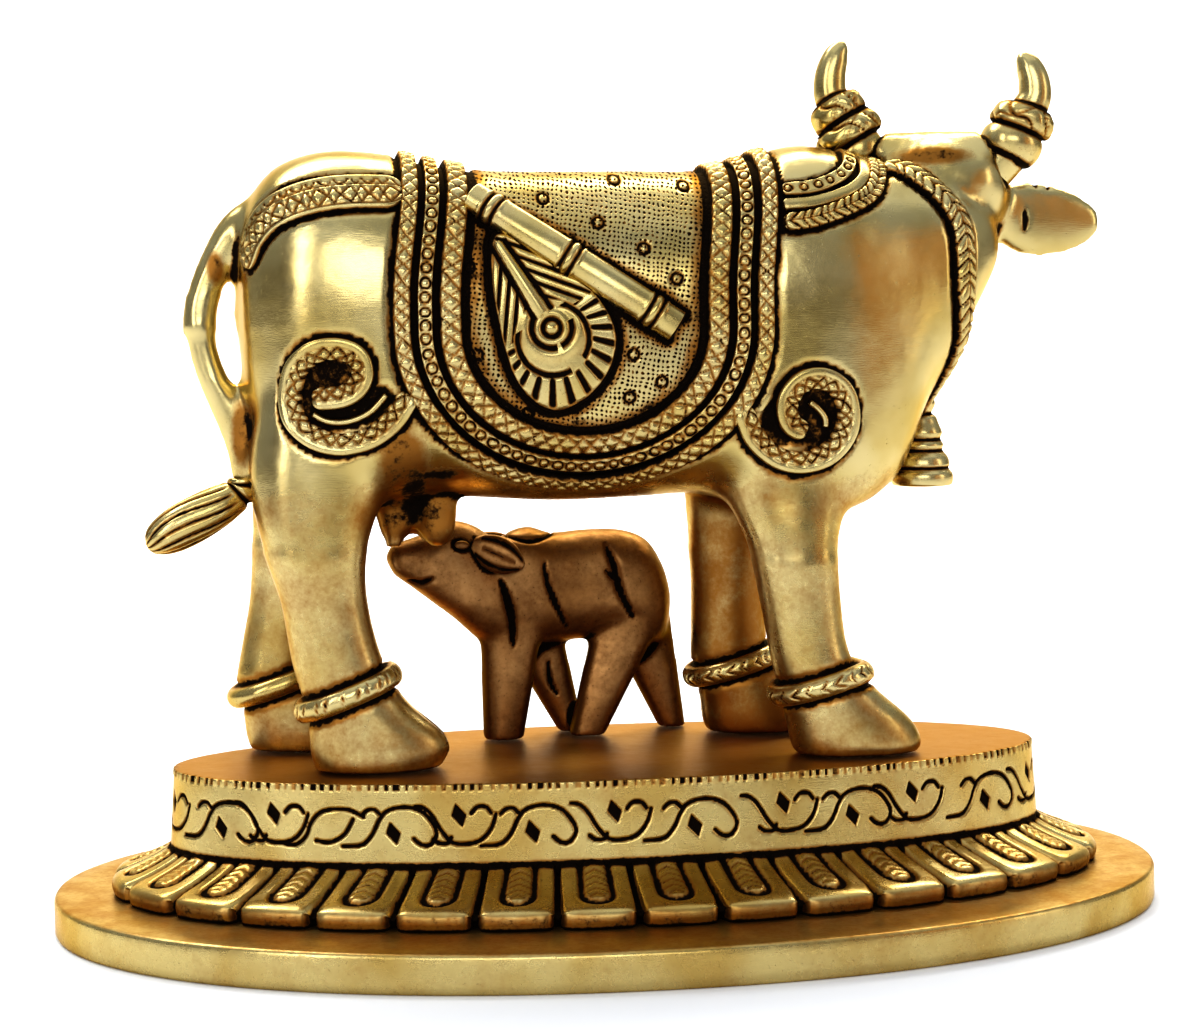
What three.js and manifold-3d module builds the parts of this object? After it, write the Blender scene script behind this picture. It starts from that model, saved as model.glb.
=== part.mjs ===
// A small cast brass cow with her calf, on an oval stepped base with a ring of lotus petals.
// Millimetres. +Z is up, the cow faces +X, and the origin is the middle of the base's underside.
// The cow looks over her left shoulder, towards +Y, where the calf stands at her udder.
import * as THREE from 'three';
import { mergeVertices } from 'three/addons/utils/BufferGeometryUtils.js';
import Module from 'manifold-3d';

// Base
const PLATE_HALF_LENGTH = 89;
const PLATE_HALF_WIDTH = 55.5;
const PLATE_HEIGHT = 6;
const PLATE_EDGE = 0.7;
const OVAL_POWER = 2.1;
const OVAL_SIDES = 44;
const DRUM_HALF_LENGTH = 69.8;
const DRUM_HALF_WIDTH = 26.8;
const DRUM_FOOT = 12.9;
const DRUM_TOP = 25.3;
const DRUM_FLARE = 1.0;
const RIM_HEIGHT = 1.2;
const RIM_PROUD = 0.35;
const PETALS = 32;
const PETAL_HALF_LENGTH = 79.7;
const PETAL_HALF_WIDTH = 42;
const PETAL_GROOVE = 1.9;
const PETAL_CREST = 9.2;

// Cow: her middle plane, and the hair's breadth between the hooves and the drum
const COW_Y = 1.5;
const STANDING_GAP = 0.3;
const HOOF_LEVEL = DRUM_TOP + STANDING_GAP;
const BODY_POWER = 2.4;
const BODY_SIDES = 16;
const BODY_STEPS = 18;
const LEG_SIDES = 8;

// Trunk from the rump to the throat: x, top, bottom, half width, and how square its lower half
// is, which fills out the haunches and shoulders above the legs
const TRUNK = [
  [-57.6, 104.0, 90.0, 3.0, 2.4],
  [-57.0, 109.0, 84.0, 7.0, 2.6],
  [-55.8, 114.0, 80.0, 10.5, 3.0],
  [-53.0, 118.3, 75.5, 14.0, 3.6],
  [-48.5, 121.0, 71.5, 17.0, 4.4],
  [-42.0, 122.2, 68.5, 18.8, 4.6],
  [-33.0, 121.4, 67.5, 19.3, 3.4],
  [-26.0, 120.0, 67.4, 19.4, 2.4],
  [-19.0, 118.8, 66.9, 19.4, 2.4],
  [-8.0, 118.5, 66.2, 19.4, 2.4],
  [6.0, 118.4, 66.5, 19.4, 2.4],
  [14.0, 118.3, 66.8, 19.4, 2.6],
  [20.0, 119.3, 65.6, 19.3, 3.6],
  [26.0, 121.2, 64.2, 19.0, 4.6],
  [32.0, 122.3, 63.4, 18.6, 4.8],
  [38.0, 121.4, 63.6, 17.8, 4.4],
  [43.0, 119.4, 65.2, 16.4, 3.4],
  [48.0, 118.4, 69.8, 14.5, 2.6],
  [52.0, 117.8, 79.5, 12.8, 2.4],
  [57.0, 116.0, 88.0, 10.8, 2.4],
  [61.0, 113.6, 95.5, 8.0, 2.4],
  [64.0, 110.5, 101.0, 5.0, 2.4],
  [65.6, 107.5, 104.5, 2.0, 2.4],
];

// Legs, from inside the trunk down to the hoof: z, rear x, front x, middle y, half thickness
const NEAR_HIND = [
  [90, -53.0, -34.0, -5.0, 10.5],
  [78, -56.0, -34.6, -7.4, 8.6],
  [69, -56.6, -35.6, -8.2, 8.1],
  [60, -54.8, -38.6, -9.2, 7.2],
  [52, -52.3, -38.8, -9.4, 6.2],
  [42, -50.7, -36.4, -9.5, 6.0],
  [36, -49.0, -33.0, -9.5, 6.3],
  [31, -48.4, -27.4, -9.5, 6.7],
  [28.4, -48.3, -26.4, -9.5, 6.9],
  [HOOF_LEVEL, -47.6, -28.0, -9.5, 6.6],
];
const FAR_HIND = [
  [90, -53.0, -34.0, 8.0, 10.5],
  [78, -56.0, -35.0, 10.4, 8.6],
  [69, -56.8, -37.0, 11.6, 7.9],
  [63, -56.6, -39.5, 12.4, 7.4],
  [51, -57.2, -43.8, 13.2, 6.3],
  [42, -58.9, -45.5, 13.5, 6.0],
  [36, -59.9, -45.0, 13.5, 6.2],
  [33.5, -59.2, -43.0, 13.5, 6.4],
  [31, -58.7, -39.0, 13.5, 6.7],
  [28.4, -58.5, -37.0, 13.5, 6.8],
  [HOOF_LEVEL, -57.8, -38.5, 13.5, 6.5],
];
const NEAR_FORE = [
  [88, 20.0, 41.0, -4.5, 10.5],
  [76, 17.4, 41.4, -6.8, 8.8],
  [68, 17.6, 38.4, -8.6, 7.6],
  [59, 21.2, 35.8, -10.6, 6.6],
  [50, 23.1, 35.9, -11.0, 5.9],
  [41, 24.7, 37.4, -11.0, 6.0],
  [36, 25.8, 41.2, -11.0, 6.3],
  [31, 27.0, 46.8, -11.0, 6.8],
  [27.4, 27.7, 48.8, -11.0, 7.0],
  [HOOF_LEVEL, 28.4, 48.4, -11.0, 6.8],
];
const FAR_FORE = [
  [88, 17.0, 40.0, 7.5, 10.5],
  [76, 14.6, 39.0, 9.8, 8.8],
  [64, 14.9, 33.5, 12.8, 7.2],
  [52, 16.0, 29.2, 14.2, 6.2],
  [42.5, 16.0, 28.6, 14.5, 5.9],
  [38, 15.9, 29.6, 14.5, 6.0],
  [34.5, 16.6, 33.4, 14.5, 6.3],
  [31, 17.4, 37.6, 14.5, 6.6],
  [28, 17.6, 39.6, 14.5, 6.8],
  [HOOF_LEVEL, 18.4, 39.2, 14.5, 6.6],
];
// Anklets: middle x, y and z, half length along x, half width, upward slope towards the toe
const ANKLETS = [
  [-40.8, -9.5, 38.4, 8.5, 7.5, 0.4],
  [-51.8, 13.5, 37.0, 8.5, 7.3, 0.34],
  [33.0, -11.0, 37.4, 8.1, 7.4, 0.3],
  [22.9, 14.5, 37.0, 7.9, 7.3, 0.3],
];
const ANKLET_HALF_HEIGHT = 1.9;

// Saddle cloth: a U on each flank whose borders follow scaled half ellipses
const CLOTH_X = -5.6;
const CLOTH_SHOULDER = 93.6;
const CLOTH_HALF_LENGTH = 19.1;
const CLOTH_DROP = 15.8;
const BORDER_HEIGHT = 0.9;
const BORDER_STEPS = 13;
// Across the three border bands: level of the U, height above the body
const BORDER = [
  [1.06, -0.5],
  [1.08, BORDER_HEIGHT],
  [1.22, BORDER_HEIGHT],
  [1.25, 0.1],
  [1.275, BORDER_HEIGHT],
  [1.385, BORDER_HEIGHT],
  [1.41, 0.1],
  [1.435, BORDER_HEIGHT],
  [1.585, BORDER_HEIGHT],
  [1.605, -0.5],
  [1.33, -1.4],
];

// Relief lines on the flank as x, z, the same on both sides of the cow
const HAUNCH_SCROLL = [
  [-33.4, 81.0], [-37.3, 77.9], [-41.8, 77.0], [-46.8, 79.2], [-49.9, 83.8], [-49.3, 88.4],
  [-46.0, 91.2], [-42.4, 91.0], [-39.9, 88.8], [-40.0, 86.0], [-42.6, 84.4], [-46.2, 84.2],
];
const SHOULDER_SCROLL = [
  [18.8, 79.6], [21.6, 75.0], [26.0, 72.2], [30.6, 72.0], [34.8, 74.5], [36.6, 79.0],
  [35.8, 83.4], [32.8, 85.6], [29.0, 85.1], [27.0, 82.0], [27.9, 79.2], [30.2, 78.6],
];
const SCROLL_WIDTH = 3.3;
const SCROLL_STEPS = 13;
const RUMP_STRAP = [[-34.6, 115.2], [-41.6, 115.5], [-47.8, 114.7], [-52.6, 113.2], [-55.9, 111.6], [-57.2, 108.6]];
const RUMP_STRAP_WIDTH = 5.6;
const HUMP_BANDS = [[26.4, 111.4], [31.4, 112.0], [36.4, 113.8], [39.8, 116.2], [41.6, 119.9]];
const HUMP_BANDS_WIDTH = 6.6;
const GARLAND = [
  [46.4, 118.6], [50.4, 115.4], [54.6, 110.6], [56.6, 104.6],
  [56.0, 97.8], [53.8, 91.0], [51.8, 85.2], [52.1, 79.9],
];
const GARLAND_WIDTH = 4.4;
const FLUTE_FROM = [-21.3, 112.9];
const FLUTE_TO = [9.4, 93.2];
const FLUTE_RADIUS = 2.3;
const FLUTE_LIFT = 0.6;
const FLUTE_COLLARS = [0.12, 0.475, 0.87];
const COLLAR_PROUD = 0.3;
const FEATHER_EYE = [-10.0, 91.8];
const FEATHER_RADIUS = 9.2;
const FEATHER_TIP = [-18.9, 107.4];

// Head, looking over the left shoulder: where its axis starts, its turn and its downward pitch
const HEAD_START = new THREE.Vector3(55.5, 3, 117.6);
const HEAD_TURN = THREE.MathUtils.degToRad(80);
const HEAD_PITCH = THREE.MathUtils.degToRad(35);
// Along the head's axis: distance, half width, height above and depth below the axis
const HEAD = [
  [-6.0, 4.0, 1.5, 2.5],
  [-4.6, 8.4, 4.6, 6.0],
  [0.0, 11.6, 7.0, 8.6],
  [5.0, 12.2, 7.6, 10.0],
  [11.0, 11.4, 7.4, 10.0],
  [18.0, 9.2, 6.4, 8.8],
  [25.0, 7.0, 5.2, 7.0],
  [31.0, 6.3, 4.8, 5.8],
  [35.0, 6.4, 4.4, 5.6],
  [38.0, 5.0, 3.0, 4.4],
  [39.6, 2.4, 1.0, 2.2],
];
// Horns: distance from the middle of the head, height above the ground, radius.
// Two rolls are wrapped round the root of each horn.
const HORN = [
  [9.6, 117.8, 3.6],
  [11.6, 120.4, 4.4],
  [12.5, 121.6, 4.0],
  [13.1, 122.6, 5.5],
  [13.9, 124.2, 5.5],
  [14.4, 125.2, 4.2],
  [14.8, 126.0, 4.9],
  [15.3, 127.5, 4.7],
  [15.7, 128.6, 3.1],
  [16.6, 131.2, 2.8],
  [16.4, 134.2, 2.7],
  [15.3, 137.2, 2.4],
  [14.4, 139.4, 1.2],
];
const HORN_ROOT = 122;
const SHORT_HORN = 0.86;
const POLL_RADIUS = 2.8;
const POLL_FORWARD = 1.5;
// Ears: distance out from the root, half height, half thickness
const EAR = [
  [-2.0, 3.2, 1.6],
  [1.5, 5.8, 2.0],
  [5.0, 6.5, 1.9],
  [9.5, 6.1, 1.6],
  [13.5, 4.8, 1.3],
  [16.4, 3.0, 1.0],
  [17.5, 1.4, 0.6],
];

// Tail: x, y, z and radius
const TAIL = [
  [-52.5, 1.0, 113.0, 3.0],
  [-57.2, 0.8, 110.6, 3.0],
  [-60.9, 0.4, 104.8, 2.8],
  [-63.3, 0.0, 99.4, 2.7],
  [-63.9, -0.4, 95.0, 2.7],
  [-62.2, -0.8, 88.0, 2.8],
  [-59.8, -1.0, 82.0, 2.8],
  [-57.8, -1.2, 75.4, 2.6],
  [-57.6, -1.4, 69.6, 2.3],
];
const TUFT = [
  [-57.0, -1.2, 69.2, 1.9],
  [-60.2, -1.6, 67.6, 2.9],
  [-64.4, -1.9, 65.4, 3.5],
  [-68.4, -2.1, 63.2, 3.4],
  [-71.2, -2.2, 61.6, 2.6],
  [-72.6, -2.3, 60.8, 1.2],
];

// Udder and bell as radius and height, from the top down
const UDDER_AT = [-29.6, COW_Y, 0];
const UDDER = [[2.0, 74], [6.0, 71], [7.0, 68.4], [5.6, 66.0], [2.6, 65.0], [0, 64.8]];
const TEATS = [[-4.2, -2.9], [2.4, -2.9], [-4.2, 2.9], [2.4, 2.9]];
const TEAT = [[0, 68], [2.7, 67], [3.1, 64.2], [2.6, 61.4], [1.2, 59.8], [0, 59.5]];
const BELL_AT = [52.6, COW_Y, 0];
const BELL = [[0, 82.4], [1.8, 81.6], [2.2, 80.2], [1.6, 78.8], [2.6, 77.8], [3.3, 75.6], [3.2, 73.4],
  [4.2, 71.6], [5.0, 68.4], [4.9, 67.2], [0, 66.8]];

// Calf, facing the udder: x, top, bottom, half width, middle y
const CALF_BODY = [
  [-34.6, 57.6, 55.6, 1.4, 11.6],
  [-33.8, 58.7, 54.0, 2.9, 11.7],
  [-31.0, 59.2, 51.8, 3.8, 12.0],
  [-27.0, 60.2, 48.6, 4.6, 12.8],
  [-23.4, 61.6, 45.6, 5.2, 13.8],
  [-20.0, 60.4, 42.4, 5.7, 15.0],
  [-16.4, 58.3, 40.4, 6.0, 16.4],
  [-13.4, 60.0, 40.0, 6.2, 17.2],
  [-10.6, 60.4, 40.4, 6.3, 17.7],
  [-7.2, 59.0, 41.0, 6.4, 18.2],
  [-1.0, 59.2, 41.4, 6.4, 18.8],
  [5.0, 59.0, 41.4, 6.4, 19.3],
  [9.4, 57.2, 40.0, 6.1, 19.6],
  [11.9, 53.6, 41.0, 4.8, 19.8],
  [13.0, 50.0, 44.6, 2.6, 19.9],
];
// Calf's legs: rear x, front x and middle y at the top, then at the foot
const CALF_LEGS = [
  [-19.5, -8.6, 14.8, -19.3, -12.6, 14.4],
  [-18.0, -5.8, 19.6, -6.1, -1.8, 20.8],
  [0.1, 12.4, 17.0, -4.8, 1.2, 15.6],
  [0.8, 13.3, 20.8, 11.2, 15.8, 21.8],
];
const CALF_LEG_TOP = 46;
const CALF_LEG_HALF_WIDTH = 2.9;
const CALF_EAR = [[-16.9, 55.3], [4.6, 2.9]];

const wasm = await Module();
wasm.setup();

// A closed mesh as a solid that can be joined and cut
function solidOf(geometry) {
  const bare = geometry.clone();
  bare.deleteAttribute('normal');
  bare.deleteAttribute('uv');
  const merged = mergeVertices(bare, 1e-4);
  const mesh = new wasm.Mesh({
    numProp: 3,
    vertProperties: Float32Array.from(merged.attributes.position.array),
    triVerts: Uint32Array.from(merged.index.array),
  });
  return new wasm.Manifold(mesh);
}

function joined(solids) {
  return solids.reduce((whole, piece) => whole.add(piece));
}

// The outer skin of a joined solid, without the small pockets shut in where its pieces cross
function outerSkin(indices, vertexCount) {
  const parent = Array.from({ length: vertexCount }, (_, i) => i);
  const rootOf = (i) => {
    let root = i;
    while (parent[root] !== root) root = parent[root];
    parent[i] = root;
    return root;
  };
  for (let i = 0; i < indices.length; i += 3) {
    parent[rootOf(indices[i + 1])] = rootOf(indices[i]);
    parent[rootOf(indices[i + 2])] = rootOf(indices[i]);
  }
  const sizes = new Map();
  for (const i of indices) sizes.set(rootOf(i), (sizes.get(rootOf(i)) ?? 0) + 1);
  const [largest] = [...sizes.entries()].reduce((best, entry) => (entry[1] > best[1] ? entry : best));
  return indices.filter((_, i) => rootOf(indices[i - (i % 3)]) === largest);
}

function geometryOf(solid) {
  const mesh = solid.getMesh();
  const skin = outerSkin(mesh.triVerts, mesh.vertProperties.length / 3);
  const geometry = new THREE.BufferGeometry();
  geometry.setAttribute('position', new THREE.BufferAttribute(Float32Array.from(mesh.vertProperties), 3));
  geometry.setIndex(new THREE.BufferAttribute(Uint32Array.from(skin), 1));
  geometry.computeVertexNormals();
  return geometry;
}

// Rings of points skinned into one closed solid; a chain that meets itself is closed into a loop
function skinned(rings, loop = false) {
  const count = rings[0].length;
  const positions = rings.flat().flatMap((point) => [point.x, point.y, point.z]);
  const faces = [];
  const bands = loop ? rings.length : rings.length - 1;
  for (let i = 0; i < bands; i += 1) {
    const here = i * count;
    const next = ((i + 1) % rings.length) * count;
    for (let j = 0; j < count; j += 1) {
      const k = (j + 1) % count;
      faces.push(here + j, here + k, next + j, here + k, next + k, next + j);
    }
  }
  if (!loop) {
    for (const [ring, flip] of [[0, true], [rings.length - 1, false]]) {
      const middle = rings[ring].reduce((sum, p) => sum.clone().add(p), new THREE.Vector3());
      middle.divideScalar(count);
      const centre = positions.length / 3;
      positions.push(middle.x, middle.y, middle.z);
      for (let j = 0; j < count; j += 1) {
        const a = ring * count + j;
        const b = ring * count + ((j + 1) % count);
        faces.push(centre, flip ? b : a, flip ? a : b);
      }
    }
  }
  const geometry = new THREE.BufferGeometry();
  geometry.setAttribute('position', new THREE.Float32BufferAttribute(positions, 3));
  geometry.setIndex(faces);
  const solid = solidOf(geometry);
  if (solid.volume() > 0) return solid;
  const inward = geometry.index.array;
  for (let i = 0; i < inward.length; i += 3) [inward[i], inward[i + 1]] = [inward[i + 1], inward[i]];
  return solidOf(geometry);
}

// One ring with round or squarish section about a centre, spanned by two half axes
function ovalRing(centre, across, upward, sides, power = 2) {
  const ring = [];
  for (let i = 0; i < sides; i += 1) {
    const angle = (2 * Math.PI * i) / sides;
    const c = Math.cos(angle);
    const s = Math.sin(angle);
    const a = Math.sign(c) * Math.abs(c) ** (2 / power);
    const b = Math.sign(s) * Math.abs(s) ** (2 / power);
    ring.push(centre.clone().addScaledVector(across, a).addScaledVector(upward, b));
  }
  return ring;
}

// The trunk's section at x: round above its middle, fuller below it
function trunkSection(x) {
  const [, top, bottom, half, squareness] = between(TRUNK, x);
  return { top, bottom, half, middle: (top + bottom) / 2, squareness };
}

// Values between the rows of a table, smooth from row to row; the first column leads
function between(rows, lead) {
  let i = 0;
  while (i < rows.length - 2 && lead > rows[i + 1][0]) i += 1;
  const span = rows[i + 1][0] - rows[i][0];
  const t = THREE.MathUtils.clamp((lead - rows[i][0]) / span, 0, 1);
  const slope = (k, column) => {
    const a = rows[Math.max(k - 1, 0)];
    const b = rows[Math.min(k + 1, rows.length - 1)];
    return (b[column] - a[column]) / (b[0] - a[0]);
  };
  return rows[i].map((start, column) => {
    const end = rows[i + 1][column];
    const from = slope(i, column) * span;
    const to = slope(i + 1, column) * span;
    const left = (2 * t ** 3 - 3 * t ** 2 + 1) * start + (t ** 3 - 2 * t ** 2 + t) * from;
    return left + (3 * t ** 2 - 2 * t ** 3) * end + (t ** 3 - t ** 2) * to;
  });
}

// A tube of changing radius along x, y, z, radius rows
function limb(rows, sides, steps = 0) {
  const curve = new THREE.CatmullRomCurve3(rows.map(([x, y, z]) => new THREE.Vector3(x, y, z)));
  const count = steps || rows.length - 1;
  const rings = [];
  for (let i = 0; i <= count; i += 1) {
    const t = i / count;
    const at = t * (rows.length - 1);
    const row = Math.min(Math.floor(at), rows.length - 2);
    const radius = THREE.MathUtils.lerp(rows[row][3], rows[row + 1][3], at - row);
    const tangent = curve.getTangent(t);
    const across = new THREE.Vector3(0, 1, 0).cross(tangent).normalize();
    const other = tangent.clone().cross(across).normalize();
    rings.push(ovalRing(curve.getPoint(t), across.multiplyScalar(radius), other.multiplyScalar(radius), sides));
  }
  return skinned(rings);
}

// A turned shape on a vertical axis through a point, from radius, height rows
function turned(rows, [x, y, z], sides) {
  const profile = rows.map(([radius, height]) => new THREE.Vector2(radius, height));
  if (profile[0].x > 0) profile.unshift(new THREE.Vector2(0, profile[0].y));
  const geometry = new THREE.LatheGeometry(profile.reverse(), sides);
  geometry.rotateX(Math.PI / 2);
  geometry.translate(x, y, z);
  return solidOf(geometry);
}

// The cow's skin at a place on her flank, with the outward direction there
function flank(x, z, side) {
  const inside = (px, py, pz) => {
    const { top, half, middle, squareness } = trunkSection(px);
    const power = pz < middle ? squareness : BODY_POWER;
    return (Math.abs(py - COW_Y) / half) ** power + (Math.abs(pz - middle) / (top - middle)) ** power;
  };
  const { top, half, middle, squareness } = trunkSection(x);
  const power = z < middle ? squareness : BODY_POWER;
  const lift = Math.min(Math.abs(z - middle) / (top - middle), 1);
  const y = COW_Y + side * half * (1 - lift ** power) ** (1 / power);
  const h = 0.05;
  const normal = new THREE.Vector3(
    inside(x + h, y, z) - inside(x - h, y, z),
    inside(x, y + h, z) - inside(x, y - h, z),
    inside(x, y, z + h) - inside(x, y, z - h),
  ).normalize();
  return { point: new THREE.Vector3(x, y, z), normal };
}

function raised(x, z, side, height) {
  const { point, normal } = flank(x, z, side);
  return point.addScaledVector(normal, height);
}

function smoothPath(points, steps) {
  const curve = new THREE.CatmullRomCurve3(points.map(([x, z]) => new THREE.Vector3(x, 0, z)));
  return curve.getPoints(steps).map((point) => [point.x, point.z]);
}

// A ribbon along places on the skin; its profile gives position across it and height
function ribbon(places, width, profile, loop = false) {
  const spots = places.map(([x, z, side]) => flank(x, z, side));
  const rings = spots.map(({ point, normal }, i) => {
    const last = spots.length - 1;
    const before = spots[loop ? (i + last) % spots.length : Math.max(i - 1, 0)].point;
    const after = spots[loop ? (i + 1) % spots.length : Math.min(i + 1, last)].point;
    const across = after.clone().sub(before).normalize().cross(normal).normalize();
    return profile.map(([place, height]) => point.clone()
      .addScaledVector(across, place * width)
      .addScaledVector(normal, height));
  });
  return skinned(rings, loop);
}

const BAND_PROFILE = [[-0.5, -1.6], [0.5, -1.6], [0.42, 1.15], [-0.42, 1.15]];
const ROPE_PROFILE = [[-0.5, -1.4], [0.5, -1.4], [0.44, 0.6], [0.1, 1.3], [-0.1, 1.3], [-0.44, 0.6]];
const RIBBED_PROFILE = [
  [-0.52, -1.4], [0.52, -1.4], [0.48, 0.7], [0.24, 0.7], [0.18, 0.05],
  [0.12, 0.7], [-0.12, 0.7], [-0.18, 0.05], [-0.24, 0.7], [-0.48, 0.7],
];

// The same line on both flanks, joined where it crosses the middle plane
function aroundCow(points, steps) {
  const path = smoothPath(points, steps);
  const near = path.map(([x, z]) => [x, z, -1]);
  const far = path.slice(0, -1).reverse().map(([x, z]) => [x, z, 1]);
  return [...near, ...far];
}

function oval(halfLength, halfWidth, z, sides = OVAL_SIDES) {
  const across = new THREE.Vector3(halfLength, 0, 0);
  const upward = new THREE.Vector3(0, halfWidth, 0);
  return ovalRing(new THREE.Vector3(0, 0, z), across, upward, sides, OVAL_POWER);
}

// Base: plate, petal ring and drum cast in one
function plate() {
  const inset = (z, by) => oval(PLATE_HALF_LENGTH - by, PLATE_HALF_WIDTH - by, z);
  return skinned([
    inset(0, PLATE_EDGE),
    inset(PLATE_EDGE, 0),
    inset(PLATE_HEIGHT - PLATE_EDGE, 0),
    inset(PLATE_HEIGHT, PLATE_EDGE),
  ]);
}

function drum() {
  const rings = [[PLATE_HEIGHT - 1, DRUM_FLARE], [DRUM_TOP - RIM_HEIGHT, 0], [DRUM_TOP - RIM_HEIGHT, RIM_PROUD],
    [DRUM_TOP - 0.2, RIM_PROUD], [DRUM_TOP, 0]];
  return skinned(rings.map(([z, out]) => oval(DRUM_HALF_LENGTH + out, DRUM_HALF_WIDTH + out, z)));
}

// Each petal swells out between two grooves and rolls over at its outer end
function petalRing() {
  const swell = [0, 0.95, 0.95];
  const stations = PETALS * swell.length;
  const even = oval(PETAL_HALF_LENGTH, PETAL_HALF_WIDTH, 0, stations * 8);
  const outer = new THREE.CatmullRomCurve3(even, true).getSpacedPoints(stations);
  const rows = [[PLATE_HEIGHT - 0.5, 0.0, 1], [PETAL_CREST - 1.2, 0.02, 1], [PETAL_CREST + 0.6, -0.14, 0.8],
    [DRUM_FOOT - 0.8, -0.55, 0.55], [DRUM_FOOT + 0.6, -1.15, 0]];
  const rings = rows.map(([z, inward, groove]) => outer.slice(0, stations).map((edge, i) => {
    const depth = (1 - swell[i % swell.length]) * PETAL_GROOVE * groove;
    const direction = new THREE.Vector3(edge.x / PETAL_HALF_LENGTH ** 2, edge.y / PETAL_HALF_WIDTH ** 2, 0);
    direction.normalize();
    const inner = new THREE.Vector3(
      (edge.x * DRUM_HALF_LENGTH) / PETAL_HALF_LENGTH,
      (edge.y * DRUM_HALF_WIDTH) / PETAL_HALF_WIDTH,
      0,
    );
    const point = edge.clone().lerp(inner, -inward).addScaledVector(direction, -depth);
    return point.setZ(z);
  }));
  return skinned(rings);
}

// Trunk, neck and head
function trunk() {
  const first = TRUNK[0][0];
  const last = TRUNK[TRUNK.length - 1][0];
  const rings = [];
  for (let i = 0; i <= BODY_STEPS; i += 1) {
    const eased = 0.5 - 0.5 * Math.cos((Math.PI * i) / BODY_STEPS);
    const x = THREE.MathUtils.lerp(first, last, 0.55 * eased + (0.45 * i) / BODY_STEPS);
    const { top, half, middle, squareness } = trunkSection(x);
    const centre = new THREE.Vector3(x, COW_Y, middle);
    const across = new THREE.Vector3(0, half, 0);
    const upward = new THREE.Vector3(0, 0, top - middle);
    const round = ovalRing(centre, across, upward, BODY_SIDES, BODY_POWER);
    const square = ovalRing(centre, across, upward, BODY_SIDES, squareness);
    rings.push(round.map((point, j) => (point.z < middle ? square[j] : point)));
  }
  return skinned(rings);
}

function leg(rows) {
  return skinned(rows.map(([z, rear, front, y, half]) => ovalRing(
    new THREE.Vector3((rear + front) / 2, y, z),
    new THREE.Vector3((front - rear) / 2, 0, 0),
    new THREE.Vector3(0, half, 0),
    LEG_SIDES,
    2.3,
  )));
}

function anklet([x, y, z, halfLength, halfWidth, slope]) {
  const rows = [[-1, 0.84], [-0.55, 1], [0.55, 1], [1, 0.84]];
  return skinned(rows.map(([level, swell]) => ovalRing(
    new THREE.Vector3(x - level * ANKLET_HALF_HEIGHT * slope, y, z + level * ANKLET_HALF_HEIGHT),
    new THREE.Vector3(halfLength * swell, 0, halfLength * swell * slope),
    new THREE.Vector3(0, halfWidth * swell, 0),
    8,
  )));
}

const headForward = new THREE.Vector3(
  Math.cos(HEAD_TURN) * Math.cos(HEAD_PITCH),
  Math.sin(HEAD_TURN) * Math.cos(HEAD_PITCH),
  -Math.sin(HEAD_PITCH),
);
const headRight = new THREE.Vector3(Math.sin(HEAD_TURN), -Math.cos(HEAD_TURN), 0);
const headUp = headRight.clone().cross(headForward);

function onHead(forward, right, up) {
  return HEAD_START.clone()
    .addScaledVector(headForward, forward)
    .addScaledVector(headRight, right)
    .addScaledVector(headUp, up);
}

function skull() {
  return skinned(HEAD.map(([distance, half, above, below]) => ovalRing(
    onHead(distance, 0, (above - below) / 2),
    headRight.clone().multiplyScalar(half),
    headUp.clone().multiplyScalar((above + below) / 2),
    12,
    2.2,
  )));
}

function horn(side, rise) {
  return limb(HORN.map(([out, height, radius]) => {
    const point = HEAD_START.clone().addScaledVector(headRight, side * out);
    const z = height < HORN_ROOT ? height : HORN_ROOT + (height - HORN_ROOT) * rise;
    return [point.x, point.y + POLL_FORWARD, z, radius];
  }), 7);
}

// A leaf-shaped ear that stands out sideways from the head
function ear(side) {
  const root = onHead(7.5, side * 11.4, -3.4);
  const outward = headRight.clone().multiplyScalar(side).addScaledVector(headForward, 0.34).normalize();
  outward.z = -0.06;
  const upright = new THREE.Vector3(0, 0, 1);
  const thick = outward.clone().cross(upright).normalize();
  return skinned(EAR.map(([distance, high, thin]) => ovalRing(
    root.clone().addScaledVector(outward, distance),
    upright.clone().multiplyScalar(high),
    thick.clone().multiplyScalar(thin),
    8,
  )));
}

// Eyes, nostrils and the small boss on the forehead
function faceDetail() {
  const knobs = [[9.5, 10.2, 1.2, 1.9], [9.5, -10.2, 1.2, 1.9], [33.5, 4.2, 2.4, 1.5], [33.5, -4.2, 2.4, 1.5],
    [9.0, 0, 6.6, 2.4]];
  return knobs.map(([forward, right, up, radius]) => {
    const ball = new THREE.SphereGeometry(radius, 7, 5);
    const place = onHead(forward, right, up);
    ball.translate(place.x, place.y, place.z);
    return solidOf(ball);
  });
}

// The ridge across the top of the head, from horn to horn
function poll() {
  const rows = [-11, -5.5, 0, 5.5, 11].map((out) => {
    const sag = 0.35 * Math.abs(out / 11);
    const point = HEAD_START.clone().addScaledVector(headRight, out);
    return [point.x, point.y + POLL_FORWARD, HORN_ROOT - sag, POLL_RADIUS];
  });
  const rings = rows.map(([x, y, z, radius]) => ovalRing(
    new THREE.Vector3(x, y, z),
    headForward.clone().setZ(0).normalize().multiplyScalar(radius * 1.5),
    new THREE.Vector3(0, 0, radius),
    8,
  ));
  return skinned(rings);
}

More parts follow.
